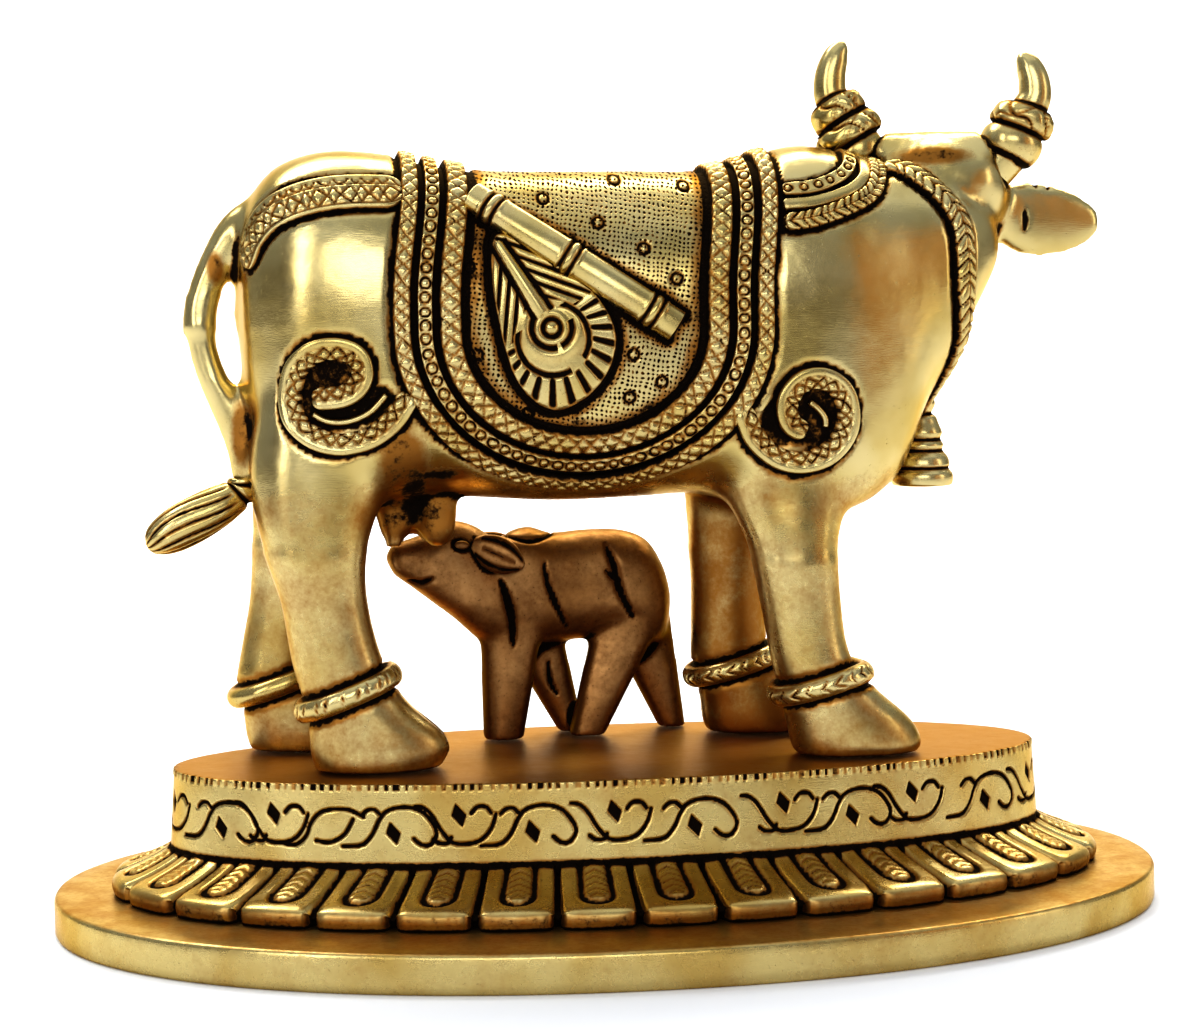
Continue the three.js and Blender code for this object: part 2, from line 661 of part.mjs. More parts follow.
// Saddle cloth borders: one loop over the back and round both flanks
function clothPlace(level, along, side) {
  const x0 = CLOTH_X - CLOTH_HALF_LENGTH * level;
  const x1 = CLOTH_X + CLOTH_HALF_LENGTH * level;
  if (along > 0.25 && along < 0.75) {
    const angle = Math.PI * (along - 0.25) * 2;
    const x = CLOTH_X - CLOTH_HALF_LENGTH * level * Math.cos(angle);
    return [x, CLOTH_SHOULDER - CLOTH_DROP * level * Math.sin(angle), side];
  }
  const x = along <= 0.25 ? x0 : x1;
  const up = along <= 0.25 ? 1 - along * 4 : (along - 0.75) * 4;
  const { top, middle } = trunkSection(x);
  const rise = (CLOTH_SHOULDER - middle) / (top - middle);
  const start = Math.sign(rise) * Math.asin(Math.abs(rise) ** (BODY_POWER / 2));
  const height = Math.sin(THREE.MathUtils.lerp(start, Math.PI / 2, up));
  return [x, middle + (top - middle) * Math.sign(height) * Math.abs(height) ** (2 / BODY_POWER), side];
}

function clothBorder() {
  const stations = [];
  for (const side of [-1, 1]) {
    for (let i = 0; i < BORDER_STEPS; i += 1) {
      const along = side < 0 ? i / BORDER_STEPS : 1 - i / BORDER_STEPS;
      stations.push([along, side]);
    }
  }
  const rings = stations.map(([along, side]) => BORDER.map(([level, height]) => {
    const [x, z] = clothPlace(level, along, side);
    return raised(x, z, side, height);
  }));
  return skinned(rings, true);
}

function scroll(points, side) {
  const path = smoothPath(points, SCROLL_STEPS).map(([x, z]) => [x, z, side]);
  return ribbon(path, SCROLL_WIDTH, BAND_PROFILE);
}

// A flute tucked across the cloth, with ring collars, and a peacock feather below it
function flute(side) {
  const place = (t) => {
    const x = THREE.MathUtils.lerp(FLUTE_FROM[0], FLUTE_TO[0], t);
    const z = THREE.MathUtils.lerp(FLUTE_FROM[1], FLUTE_TO[1], t);
    return raised(x, z, side, FLUTE_LIFT);
  };
  const plain = [0, 1].map((t) => [...place(t).toArray(), FLUTE_RADIUS]);
  const collars = FLUTE_COLLARS.flatMap((middle) => [
    [middle - 0.035, 0],
    [middle - 0.03, COLLAR_PROUD],
    [middle + 0.03, COLLAR_PROUD],
    [middle + 0.035, 0],
  ]).map(([t, proud]) => [...place(t).toArray(), FLUTE_RADIUS + proud]);
  return limb([plain[0], ...collars, plain[1]], 7);
}

function featherEdge(angle, scale) {
  const reach = [FEATHER_TIP[0] - FEATHER_EYE[0], FEATHER_TIP[1] - FEATHER_EYE[1]];
  const towards = Math.atan2(reach[1], reach[0]);
  const turn = Math.cos(angle - towards);
  const stretch = Math.max(turn, 0) ** 5 * (Math.hypot(...reach) - FEATHER_RADIUS);
  const radius = (FEATHER_RADIUS + stretch) * scale;
  return [FEATHER_EYE[0] + radius * Math.cos(angle), FEATHER_EYE[1] + radius * Math.sin(angle)];
}

function feather(side) {
  const sides = 14;
  const rows = [[1, -0.8], [0.96, 0.7], [0.62, 0.9], [0.54, 0.4], [0.3, 1.1]];
  const rings = rows.map(([scale, height]) => {
    const ring = [];
    for (let i = 0; i < sides; i += 1) {
      const [x, z] = featherEdge((2 * Math.PI * i) / sides, scale);
      ring.push(raised(x, z, side, height));
    }
    return ring;
  });
  return skinned(rings);
}

// Whole cow
function cow() {
  const pieces = [
    trunk(),
    ...[NEAR_HIND, FAR_HIND, NEAR_FORE, FAR_FORE].map(leg),
    ...ANKLETS.map(anklet),
    skull(),
    poll(),
    ...faceDetail(),
    horn(1, SHORT_HORN),
    horn(-1, 1),
    ear(1),
    ear(-1),
    limb(TAIL, 7, 12),
    limb(TUFT, 7, 6),
    turned(UDDER, UDDER_AT, 9),
    ...TEATS.map(([x, y]) => turned(TEAT, [UDDER_AT[0] + x, UDDER_AT[1] + y, 0], 5)),
    clothBorder(),
    ribbon(aroundCow(RUMP_STRAP, 7), RUMP_STRAP_WIDTH, ROPE_PROFILE),
    ribbon(aroundCow(HUMP_BANDS, 6), HUMP_BANDS_WIDTH, RIBBED_PROFILE),
    ribbon(aroundCow(GARLAND, 9), GARLAND_WIDTH, ROPE_PROFILE),
    turned(BELL, BELL_AT, 8),
    flute(-1),
    feather(-1),
  ];
  for (const side of [-1, 1]) pieces.push(scroll(HAUNCH_SCROLL, side), scroll(SHOULDER_SCROLL, side));
  return joined(pieces);
}

// Whole calf
function calf() {
  const body = skinned(CALF_BODY.map(([x, top, bottom, half, y]) => ovalRing(
    new THREE.Vector3(x, y, (top + bottom) / 2),
    new THREE.Vector3(0, half, 0),
    new THREE.Vector3(0, 0, (top - bottom) / 2),
    11,
    2.2,
  )));
  const legs = CALF_LEGS.map(([rearTop, frontTop, yTop, rearFoot, frontFoot, yFoot]) => {
    const rings = [0, 0.35, 0.75, 1].map((t) => {
      const rear = THREE.MathUtils.lerp(rearTop, rearFoot, t);
      const front = THREE.MathUtils.lerp(frontTop, frontFoot, t);
      const z = THREE.MathUtils.lerp(CALF_LEG_TOP, HOOF_LEVEL, t);
      return ovalRing(
        new THREE.Vector3((rear + front) / 2, THREE.MathUtils.lerp(yTop, yFoot, t), z),
        new THREE.Vector3((front - rear) / 2, 0, 0),
        new THREE.Vector3(0, CALF_LEG_HALF_WIDTH, 0),
        6,
      );
    });
    return skinned(rings);
  });
  const ears = [-1, 1].map((side) => {
    const [[x, z], [halfLength, halfHeight]] = CALF_EAR;
    const [, , , half, y] = between(CALF_BODY, x);
    const ball = new THREE.SphereGeometry(1, 8, 5);
    ball.scale(halfLength, 1.1, halfHeight);
    ball.rotateY(0.1);
    ball.translate(x, y + side * (half - 0.1), z);
    return solidOf(ball);
  });
  return joined([body, ...legs, ...ears]);
}

const brass = new THREE.MeshStandardMaterial({ color: 0xb08f4a, roughness: 0.32, metalness: 1 });
const darkBrass = new THREE.MeshStandardMaterial({ color: 0x7a5426, roughness: 0.45, metalness: 1 });
const agedBrass = new THREE.MeshStandardMaterial({ color: 0x9c7a3e, roughness: 0.38, metalness: 1 });

function named(name, solid, material) {
  const mesh = new THREE.Mesh(geometryOf(solid), material);
  mesh.name = name;
  return mesh;
}

const statue = new THREE.Group();
statue.add(named('base', joined([plate(), petalRing(), drum()]), agedBrass));
statue.add(named('cow', cow(), brass));
statue.add(named('calf', calf(), darkBrass));

export default statue;
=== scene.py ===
# %% [markdown]
# # A brass cow and calf on a lotus base
#
# The statue is a small lost-wax casting: the founder models the cow, the calf and the base in wax,
# casts them in brass, chases the ornament with punches and chisels, blackens the whole and rubs the
# high places bright again. This lesson follows the same order: smooth bodies first, then the carved
# bands laid on them, then the dark patina and the polish, and last the studio.
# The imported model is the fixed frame. Everything below is measured in its coordinates.

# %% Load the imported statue
import math

import bmesh
import bpy
import numpy as np
from mathutils import Matrix, Vector
from mathutils.bvhtree import BVHTree
from mathutils.kdtree import KDTree


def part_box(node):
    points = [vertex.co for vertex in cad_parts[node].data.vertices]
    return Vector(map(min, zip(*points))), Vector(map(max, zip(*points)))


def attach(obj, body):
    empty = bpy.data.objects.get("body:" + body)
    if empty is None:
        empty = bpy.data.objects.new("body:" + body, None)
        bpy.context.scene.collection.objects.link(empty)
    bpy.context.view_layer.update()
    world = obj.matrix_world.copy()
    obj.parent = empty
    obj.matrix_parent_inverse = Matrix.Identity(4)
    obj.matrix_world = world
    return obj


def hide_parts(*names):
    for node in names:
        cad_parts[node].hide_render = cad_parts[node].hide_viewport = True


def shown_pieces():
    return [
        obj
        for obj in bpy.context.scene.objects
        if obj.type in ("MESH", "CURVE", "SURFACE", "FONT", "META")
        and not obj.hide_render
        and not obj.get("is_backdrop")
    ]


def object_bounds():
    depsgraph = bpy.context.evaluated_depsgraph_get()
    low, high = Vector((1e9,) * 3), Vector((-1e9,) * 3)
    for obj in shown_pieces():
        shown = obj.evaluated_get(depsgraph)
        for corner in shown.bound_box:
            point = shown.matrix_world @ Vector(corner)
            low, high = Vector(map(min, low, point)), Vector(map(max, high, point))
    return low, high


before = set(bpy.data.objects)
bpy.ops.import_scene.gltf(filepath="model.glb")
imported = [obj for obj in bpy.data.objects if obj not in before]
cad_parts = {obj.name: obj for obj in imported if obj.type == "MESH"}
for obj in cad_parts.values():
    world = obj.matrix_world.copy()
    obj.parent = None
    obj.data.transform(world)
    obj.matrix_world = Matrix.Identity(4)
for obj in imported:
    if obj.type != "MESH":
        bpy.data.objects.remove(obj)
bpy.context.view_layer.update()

MM = 0.001
DRUM_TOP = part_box("base")[1].z / MM
HOOF_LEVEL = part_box("cow")[0].z / MM

# %% [markdown]
# ## Smooth values from short tables
#
# A founder judges a body by its sections: how high, how deep and how wide it is at a few places.
# The tables below hold such sections in millimetres, and one helper draws a smooth curve through
# them, so that a dozen rows make a body with no corners.

# %% Smooth values between the rows of a table
def rows_at(rows, lead):
    """Values at the places in lead; the table's first column is the place."""
    rows = np.array(sorted(rows), float)
    x = rows[:, 0]
    slopes = np.empty_like(rows)
    slopes[1:-1] = (rows[2:] - rows[:-2]) / (x[2:] - x[:-2])[:, None]
    slopes[0] = (rows[1] - rows[0]) / (x[1] - x[0])
    slopes[-1] = (rows[-1] - rows[-2]) / (x[-1] - x[-2])
    i = np.clip(np.searchsorted(x, lead, side="right") - 1, 0, len(x) - 2)
    span = (x[i + 1] - x[i])[:, None]
    t = np.clip((lead - x[i])[:, None] / span, 0, 1)
    start = (2 * t**3 - 3 * t**2 + 1) * rows[i] + (t**3 - 2 * t**2 + t) * span * slopes[i]
    end = (3 * t**2 - 2 * t**3) * rows[i + 1] + (t**3 - t**2) * span * slopes[i + 1]
    return start + end


def curve_through(points, count, loop=False):
    """A smooth curve through a few points, as count points."""
    points = np.array(points, float)
    if loop:
        points = np.vstack([points, points[:1]])
    steps = np.linalg.norm(np.diff(points, axis=0), axis=1) ** 0.5
    knots = np.concatenate([[0], np.cumsum(steps)])
    rows = np.column_stack([knots, points])
    if loop:
        total = knots[-1]
        rows = np.vstack([rows[-4:-1] - [total, *[0] * points.shape[1]], rows,
                          rows[1:4] + [total, *[0] * points.shape[1]]])
    return rows_at(rows.tolist(), np.linspace(0, knots[-1], count))[:, 1:]


def evenly(points, step):
    """The same line with points a fixed step apart."""
    lengths = np.linalg.norm(np.diff(points, axis=0), axis=1)
    run = np.concatenate([[0], np.cumsum(lengths)])
    count = max(int(round(run[-1] / step)), 4) + 1
    wanted = np.linspace(0, run[-1], count)
    return np.column_stack([np.interp(wanted, run, points[:, k]) for k in range(points.shape[1])])


def unit(vectors):
    return vectors / np.maximum(np.linalg.norm(vectors, axis=-1, keepdims=True), 1e-9)


def signed_power(values, power):
    return np.sign(values) * np.abs(values) ** power


def soft_step(low, high, values):
    t = np.clip((values - low) / (high - low), 0, 1)
    return t * t * (3 - 2 * t)


def bump(values, width):
    """1 at zero, fading to nothing over the width."""
    return np.exp(-((values / width) ** 2))

# %% [markdown]
# ## A skin bent from a grid
#
# Most forms on this statue are a sheet of wax rolled round a path: a leg, a horn, a carved band.
# So one helper starts from Blender's own grid, puts each corner where a function says, and welds
# the edges that meet, which closes the seams and the poles. Each corner also carries a "stain":
# how much black patina stays there, from 0 on a rubbed face to 1 in a cut. In a few places the
# same stain also holds painted shade and painted shadow: beside the bands on the body, and round
# the feather and the flute on the cloth.

# %% Helpers that make meshes
def corners(mesh):
    flat = np.empty(len(mesh.vertices) * 3)
    mesh.vertices.foreach_get("co", flat)
    return flat.reshape(-1, 3) / MM


def corner_normals(mesh):
    flat = np.empty(len(mesh.vertices) * 3)
    mesh.vertices.foreach_get("normal", flat)
    return flat.reshape(-1, 3)


def set_corners(mesh, points):
    mesh.vertices.foreach_set("co", (np.asarray(points) * MM).astype(np.float32).ravel())
    mesh.update()


def set_stain(mesh, stain):
    layer = mesh.attributes.get("stain") or mesh.attributes.new("stain", "FLOAT", "POINT")
    layer.data.foreach_set("value", np.clip(stain, 0, 1).astype(np.float32))


def welded(mesh, distance=1e-4):
    bm = bmesh.new()
    bm.from_mesh(mesh)
    bmesh.ops.remove_doubles(bm, verts=bm.verts, dist=distance * MM)
    bmesh.ops.dissolve_degenerate(bm, edges=bm.edges, dist=distance * MM)
    bmesh.ops.recalc_face_normals(bm, faces=bm.faces)
    bm.to_mesh(mesh)
    bm.free()
    return mesh


def bent_grid(name, columns, rows, place):
    """A closed skin: place(u, v) gives points in mm and their stain for u, v from 0 to 1."""
    bm = bmesh.new()
    bmesh.ops.create_grid(bm, x_segments=columns, y_segments=rows, size=0.5)
    mesh = bpy.data.meshes.new(name)
    bm.to_mesh(mesh)
    bm.free()
    flat = corners(mesh) * MM
    points, stain = place(flat[:, 0] + 0.5, flat[:, 1] + 0.5)
    set_corners(mesh, points)
    set_stain(mesh, stain)
    return welded(mesh)


def ringed(name, centres, across, upward, power=2.0, sides=40, relief=None):
    """A loft: one rounded ring about each centre, spanned by two half axes, closed at both ends."""
    count = len(centres)
    power = np.broadcast_to(power, count)

    def place(u, v):
        ring = np.rint(u * (count + 1)).astype(int)
        inside = (ring == 0) | (ring == count + 1)
        ring = np.clip(ring - 1, 0, count - 1)
        angle = 2 * np.pi * v
        p = 2 / power[ring]
        a = signed_power(np.cos(angle), p)[:, None]
        b = signed_power(np.sin(angle), p)[:, None]
        out = across[ring] * a + upward[ring] * b
        stain = np.zeros(len(u))
        if relief:
            height, stain = relief(ring, angle)
            out = out + unit(out) * height[:, None]
        out[inside] = 0
        return centres[ring] + out, stain

    return bent_grid(name, count + 1, sides, place)


def limb(name, rows, steps, sides, relief=None):
    """A tube of changing radius along x, y, z, radius rows."""
    path = curve_through(rows, steps)
    centres, radius = path[:, :3], path[:, 3:]
    along = unit(np.gradient(centres, axis=0))
    across = unit(np.cross([0.0, 1.0, 0.0], along))
    other = np.cross(along, across)
    return ringed(name, centres, across * radius, other * radius, sides=sides, relief=relief)

print("helpers ready")

# %% [markdown]
# ## The cow's trunk, legs and head
#
# The cow is one casting with soft transitions. Each part is lofted through its own table, then all
# are joined and remeshed with small voxels, which melts them into one skin as wax would be. The
# creases left at the haunches, shoulders and neck are rubbed out with a few rounds of smoothing.

# %% Sections of the trunk: x, top, bottom, half width, squareness of the lower half
COW_Y = 1.5
BODY_POWER = 2.4
TRUNK = [
    (-58.4, 101.0, 93.0, 1.0, 2.4), (-57.6, 104.0, 90.0, 3.0, 2.4), (-57.0, 109.0, 84.0, 7.0, 2.6),
    (-55.8, 114.0, 80.0, 10.5, 3.0), (-53.0, 118.3, 75.5, 14.0, 3.6), (-48.5, 121.0, 71.5, 17.0, 4.4),
    (-42.0, 122.2, 68.5, 18.8, 4.6), (-33.0, 121.4, 67.5, 19.3, 3.4), (-26.0, 120.0, 67.4, 19.4, 2.4),
    (-19.0, 118.8, 66.9, 19.4, 2.4), (-8.0, 118.5, 66.2, 19.4, 2.4), (6.0, 118.4, 66.5, 19.4, 2.4),
    (14.0, 118.3, 66.8, 19.4, 2.6), (20.0, 119.3, 65.6, 19.3, 3.6), (26.0, 121.2, 64.2, 19.0, 4.6),
    (32.0, 122.3, 63.4, 18.6, 4.8), (38.0, 121.4, 63.6, 17.8, 4.4), (43.0, 119.4, 65.2, 16.4, 3.4),
    (48.0, 118.4, 69.8, 14.5, 2.6), (52.0, 117.8, 79.5, 12.8, 2.4), (57.0, 116.0, 88.0, 10.8, 2.4),
    (61.0, 113.6, 95.5, 8.0, 2.4), (64.0, 110.5, 101.0, 5.0, 2.4), (65.6, 107.5, 104.5, 2.0, 2.4),
]


def trunk_mesh(rings=150, sides=96):
    rows = rows_at(TRUNK, np.linspace(TRUNK[0][0], TRUNK[-1][0], rings))

    def place(u, v):
        x, top, bottom, half, square = rows[np.rint(u * (rings - 1)).astype(int)].T
        angle = 2 * np.pi * v
        middle = (top + bottom) / 2
        power = np.where(np.sin(angle) < 0, square, BODY_POWER)
        y = COW_Y + half * signed_power(np.cos(angle), 2 / power)
        z = middle + (top - middle) * signed_power(np.sin(angle), 2 / power)
        end = (u < 1e-6) | (u > 1 - 1e-6)
        y[end] = COW_Y
        z[end] = middle[end]
        return np.column_stack([x, y, z]), np.zeros(len(u))

    return bent_grid("trunk", rings - 1, sides, place)


def trunk_side(x, z, side):
    """The trunk's skin at a place seen from the side, before the joints are smoothed."""
    _, top, bottom, half, square = rows_at(TRUNK, np.asarray(x, float)).T
    middle = (top + bottom) / 2
    power = np.where(z < middle, square, BODY_POWER)
    lift = np.minimum(np.abs(z - middle) / (top - middle), 1)
    return np.column_stack([x, COW_Y + side * half * (1 - lift**power) ** (1 / power), z])

# %% Sections of the legs: z, rear x, front x, middle y, half thickness
NEAR_HIND = [
    (90, -53.0, -34.0, -5.0, 10.5), (78, -56.0, -34.6, -7.4, 8.6), (69, -56.6, -35.6, -8.2, 8.1),
    (60, -54.8, -38.6, -9.2, 7.2), (52, -52.3, -38.8, -9.4, 6.2), (42, -50.7, -36.4, -9.5, 6.0),
    (36, -49.0, -33.0, -9.5, 6.3), (31, -48.4, -27.4, -9.5, 6.7), (28.4, -48.3, -26.4, -9.5, 6.9),
    (HOOF_LEVEL, -47.6, -28.0, -9.5, 6.6),
]
FAR_HIND = [
    (90, -53.0, -34.0, 8.0, 10.5), (78, -56.0, -35.0, 10.4, 8.6), (69, -56.8, -37.0, 11.6, 7.9),
    (63, -56.6, -39.5, 12.4, 7.4), (51, -57.2, -43.8, 13.2, 6.3), (42, -58.9, -45.5, 13.5, 6.0),
    (36, -59.9, -45.0, 13.5, 6.2), (33.5, -59.2, -43.0, 13.5, 6.4), (31, -58.7, -39.0, 13.5, 6.7),
    (28.4, -58.5, -37.0, 13.5, 6.8), (HOOF_LEVEL, -57.8, -38.5, 13.5, 6.5),
]
NEAR_FORE = [
    (88, 20.0, 41.0, -4.5, 10.5), (76, 17.4, 41.4, -6.8, 8.8), (68, 17.6, 38.4, -8.6, 7.6),
    (59, 21.2, 35.8, -10.6, 6.6), (50, 23.1, 35.9, -11.0, 5.9), (41, 24.7, 37.4, -11.0, 6.0),
    (36, 25.8, 41.2, -11.0, 6.3), (31, 27.0, 46.8, -11.0, 6.8), (27.4, 27.7, 48.8, -11.0, 7.0),
    (HOOF_LEVEL, 28.4, 48.4, -11.0, 6.8),
]
FAR_FORE = [
    (88, 17.0, 40.0, 7.5, 10.5), (76, 14.6, 39.0, 9.8, 8.8), (64, 14.9, 33.5, 12.8, 7.2),
    (52, 16.0, 29.2, 14.2, 6.2), (42.5, 16.0, 28.6, 14.5, 5.9), (38, 15.9, 29.6, 14.5, 6.0),
    (34.5, 16.6, 33.4, 14.5, 6.3), (31, 17.4, 37.6, 14.5, 6.6), (28, 17.6, 39.6, 14.5, 6.8),
    (HOOF_LEVEL, 18.4, 39.2, 14.5, 6.6),
]


def leg_mesh(name, table, rings=70):
    z, rear, front, y, half = rows_at(table, np.linspace(HOOF_LEVEL, table[0][0], rings)).T
    z[0] = HOOF_LEVEL
    centres = np.column_stack([(rear + front) / 2, y, z])
    zero = np.zeros(rings)
    across = np.column_stack([(front - rear) / 2, zero, zero])
    return ringed(name, centres, across, np.column_stack([zero, half, zero]), power=2.3)

# %% The head's own directions, and its sections along its axis
HEAD_START = np.array([55.5, 3.0, 117.6])
HEAD_TURN, HEAD_PITCH = math.radians(80), math.radians(35)
head_forward = np.array([
    math.cos(HEAD_TURN) * math.cos(HEAD_PITCH),
    math.sin(HEAD_TURN) * math.cos(HEAD_PITCH),
    -math.sin(HEAD_PITCH),
])
head_right = np.array([math.sin(HEAD_TURN), -math.cos(HEAD_TURN), 0.0])
head_up = np.cross(head_right, head_forward)
# distance along the axis, half width, height above and depth below it
HEAD = [
    (-6.6, 2.0, 0.6, 1.2), (-6.0, 4.0, 1.5, 2.5), (-4.6, 8.4, 4.6, 6.0), (0.0, 11.6, 7.0, 8.6),
    (5.0, 12.2, 7.6, 10.0), (11.0, 11.4, 7.4, 10.0), (18.0, 9.2, 6.4, 8.8), (25.0, 7.0, 5.2, 7.0),
    (31.0, 6.3, 4.8, 5.8), (35.0, 6.4, 4.4, 5.6), (38.0, 5.0, 3.0, 4.4), (39.6, 2.4, 1.0, 2.2),
]


def on_head(forward, right, up):
    return HEAD_START + head_forward * forward + head_right * right + head_up * up


def head_mesh(rings=60):
    d, half, above, below = rows_at(HEAD, np.linspace(HEAD[0][0], HEAD[-1][0], rings)).T
    centres = np.array([on_head(f, 0, (a - b) / 2) for f, a, b in zip(d, above, below)])
    upward = head_up * ((above + below) / 2)[:, None]
    return ringed("head", centres, head_right * half[:, None], upward, power=2.2, sides=48)


def poll_mesh():
    out = np.linspace(-11, 11, 24)
    flat = unit(head_forward * [1, 1, 0])
    centres = HEAD_START + head_right * out[:, None]
    centres[:, 1] += 1.5
    centres[:, 2] = 122.0 - 0.35 * np.abs(out / 11)
    return ringed("poll", centres, np.tile(flat * 4.2, (24, 1)), np.tile([0, 0, 2.8], (24, 1)), sides=24)

# %% Ears: distance out from the root, half height, half thickness
EAR = [
    (-2.0, 3.0, 1.6), (0.0, 4.8, 1.9), (2.5, 6.1, 2.0), (5.5, 6.5, 1.9), (9.5, 6.1, 1.6),
    (13.0, 5.0, 1.3), (15.6, 3.6, 1.1), (17.2, 2.2, 0.9), (17.8, 0.8, 0.5),
]


def ear_mesh(name, side, rings=60, sides=60):
    """An oval ear that stands out sideways, with a hollow on the side that faces forward."""
    distance, high, thin = rows_at(EAR, np.linspace(EAR[0][0], EAR[-1][0], rings)).T
    root = on_head(7.5, side * 11.4, -3.4)
    outward = unit(head_right * side + head_forward * 0.34)
    outward[2] = -0.06
    upright = np.array([0.0, 0.0, 1.0])
    thick = unit(np.cross(outward, upright))
    front = 1 if thick @ head_forward > 0 else -1
    centres = root + outward * distance[:, None]

    def relief(ring, angle):
        t = ring / (rings - 1)
        facing = np.sin(angle) * front
        hollow = soft_step(0.1, 0.5, facing) * (1 - np.cos(angle) ** 2) * np.sin(np.pi * np.clip(t, 0, 1))
        return -1.5 * hollow, np.zeros(len(t))

    return ringed(name, centres, upright * high[:, None], thick * thin[:, None], sides=sides, relief=relief)

# %% Tail and udder
TAIL = [
    (-52.5, 1.0, 113.0, 3.2), (-57.2, 0.8, 110.4, 3.1), (-60.9, 0.4, 104.8, 2.8), (-63.2, 0.0, 99.0, 2.7),
    (-63.6, -0.4, 93.4, 2.7), (-62.2, -0.8, 87.6, 2.8), (-59.9, -1.0, 81.8, 2.8),
    (-57.8, -1.2, 75.4, 2.6), (-57.6, -1.4, 69.6, 2.3),
]
UDDER_X = -29.6
UDDER = [(2.0, 75), (6.0, 72.5), (7.0, 70.4), (5.4, 68.4), (2.6, 67.6), (0.4, 67.4)]
TEATS = [(-4.6, -2.9), (2.4, -3.1), (-4.2, 2.9), (2.0, 2.9)]
TEAT = [(0.4, 71.5), (2.6, 70.6), (3.2, 67.4), (3.1, 63.6), (2.5, 61.0), (1.3, 59.6), (0.2, 59.3)]


def turned_mesh(name, profile, x, y, steps=32, samples=24):
    """A profile of radius and height, spun about an upright axis."""
    points = curve_through(profile, samples)
    bm = bmesh.new()
    chain = [bm.verts.new((r, 0, z)) for r, z in [(0, points[0][1]), *points, (0, points[-1][1])]]
    edges = [bm.edges.new(pair) for pair in zip(chain, chain[1:])]
    bmesh.ops.spin(bm, geom=chain + edges, axis=(0, 0, 1), cent=(0, 0, 0), steps=steps,
                   angle=2 * math.pi, use_merge=True)
    bmesh.ops.translate(bm, verts=bm.verts, vec=(x, y, 0))
    bmesh.ops.scale(bm, verts=bm.verts, vec=(MM, MM, MM))
    mesh = bpy.data.meshes.new(name)
    bm.to_mesh(mesh)
    bm.free()
    set_stain(mesh, np.zeros(len(mesh.vertices)))
    return welded(mesh)

# %% Melt the parts of the cow into one skin
def melted(name, parts, voxel):
    """The parts joined, remeshed in voxels of that size in mm, as one new mesh."""
    bm = bmesh.new()
    for part in parts:
        bm.from_mesh(part)
    joined = bpy.data.meshes.new(name + "_parts")
    bm.to_mesh(joined)
    bm.free()
    piece = bpy.data.objects.new(name + "_parts", joined)
    bpy.context.scene.collection.objects.link(piece)
    remesh = piece.modifiers.new("melt", "REMESH")
    remesh.mode = "VOXEL"
    remesh.voxel_size = voxel * MM
    graph = bpy.context.evaluated_depsgraph_get()
    mesh = bpy.data.meshes.new_from_object(piece.evaluated_get(graph))
    mesh.name = name
    bpy.data.objects.remove(piece)
    return mesh


def rubbed(mesh, rounds, where=None, strength=0.5):
    """Smoothing of all corners, or of those that where(points) picks."""
    bm = bmesh.new()
    bm.from_mesh(mesh)
    if where is None:
        picked = bm.verts[:]
    else:
        keep = where(corners(mesh))
        picked = [v for v, k in zip(bm.verts, keep) if k]
    for _ in range(rounds):
        bmesh.ops.smooth_vert(bm, verts=picked, factor=strength, use_axis_x=True, use_axis_y=True,
                              use_axis_z=True)
    bm.to_mesh(mesh)
    bm.free()
    mesh.update()
    return mesh


BODY_VOXEL = 0.72
body_parts = [
    trunk_mesh(), leg_mesh("near_hind", NEAR_HIND), leg_mesh("far_hind", FAR_HIND),
    leg_mesh("near_fore", NEAR_FORE), leg_mesh("far_fore", FAR_FORE), head_mesh(), poll_mesh(),
    ear_mesh("ear_right", 1), ear_mesh("ear_left", -1), limb("tail", TAIL, 70, 24),
    turned_mesh("udder", UDDER, UDDER_X, COW_Y),
    *[turned_mesh("teat", TEAT, UDDER_X + x, COW_Y + y, 16, 14) for x, y in TEATS],
]
body_mesh = melted("cow_body", body_parts, BODY_VOXEL)


def at_leg_tops(p):
    x, y, z = p.T
    hind = (x < -30) & (z > 60) & (z < 94)
    fore = (x > 11) & (x < 46) & (z > 57) & (z < 92)
    return hind | fore


def at_neck(p):
    x, y, z = p.T
    return (x > 46) & (z > 92) & (y < 16)


def at_tail_root(p):
    x, y, z = p.T
    return (x < -52) & (z > 100)


rubbed(body_mesh, 3)
rubbed(body_mesh, 40, at_leg_tops)
rubbed(body_mesh, 12, at_neck)
rubbed(body_mesh, 10, at_tail_root)
print("cow's skin:", len(body_mesh.polygons), "faces")

# %% [markdown]
# ## Laying carved bands on the skin
#
# The ornament is made of narrow raised bands: the cloth's borders, the spirals on haunch and
# shoulder, the strap, the garland and the anklets. Each is a strip that follows a line on the cow's
# real, smoothed skin, so it is laid by looking for the nearest place on that skin. Its face is cut
# by a pattern that knows only how far along the band and how far across it a point is.

# %% Find the nearest place on the cow's skin
def tree_of(mesh):
    triangles = [tuple(p.vertices) for p in mesh.polygons]
    return BVHTree.FromPolygons([Vector(p) for p in corners(mesh)], triangles)


body_tree = tree_of(body_mesh)


def nearness(points, meshes, reach):
    """1 touching any of the meshes, 0 at reach and beyond."""
    others = np.vstack([corners(mesh)[::2] for mesh in meshes])
    tree = KDTree(len(others))
    for k, p in enumerate(others):
        tree.insert(p, k)
    tree.balance()
    return np.array([max(0.0, 1 - tree.find(p)[2] / reach) for p in points])


def on_skin(points, tree=None):
    """The nearest places on the skin and the outward directions there."""
    tree = tree or body_tree
    found = [tree.find_nearest(Vector(p)) for p in points]
    return np.array([f[0] for f in found]), np.array([f[1] for f in found])


def flank_line(points, side, count=120):
    """A line on one flank through x, z places."""
    x, z = curve_through(points, count).T
    return trunk_side(x, z, side)


def over_back(points, count=120):
    """A line up the near flank and down the far one, mirrored in the cow's middle plane."""
    near = flank_line(points, -1, count)
    far = flank_line(points, 1, count)[::-1]
    return np.vstack([near, far[1:]])

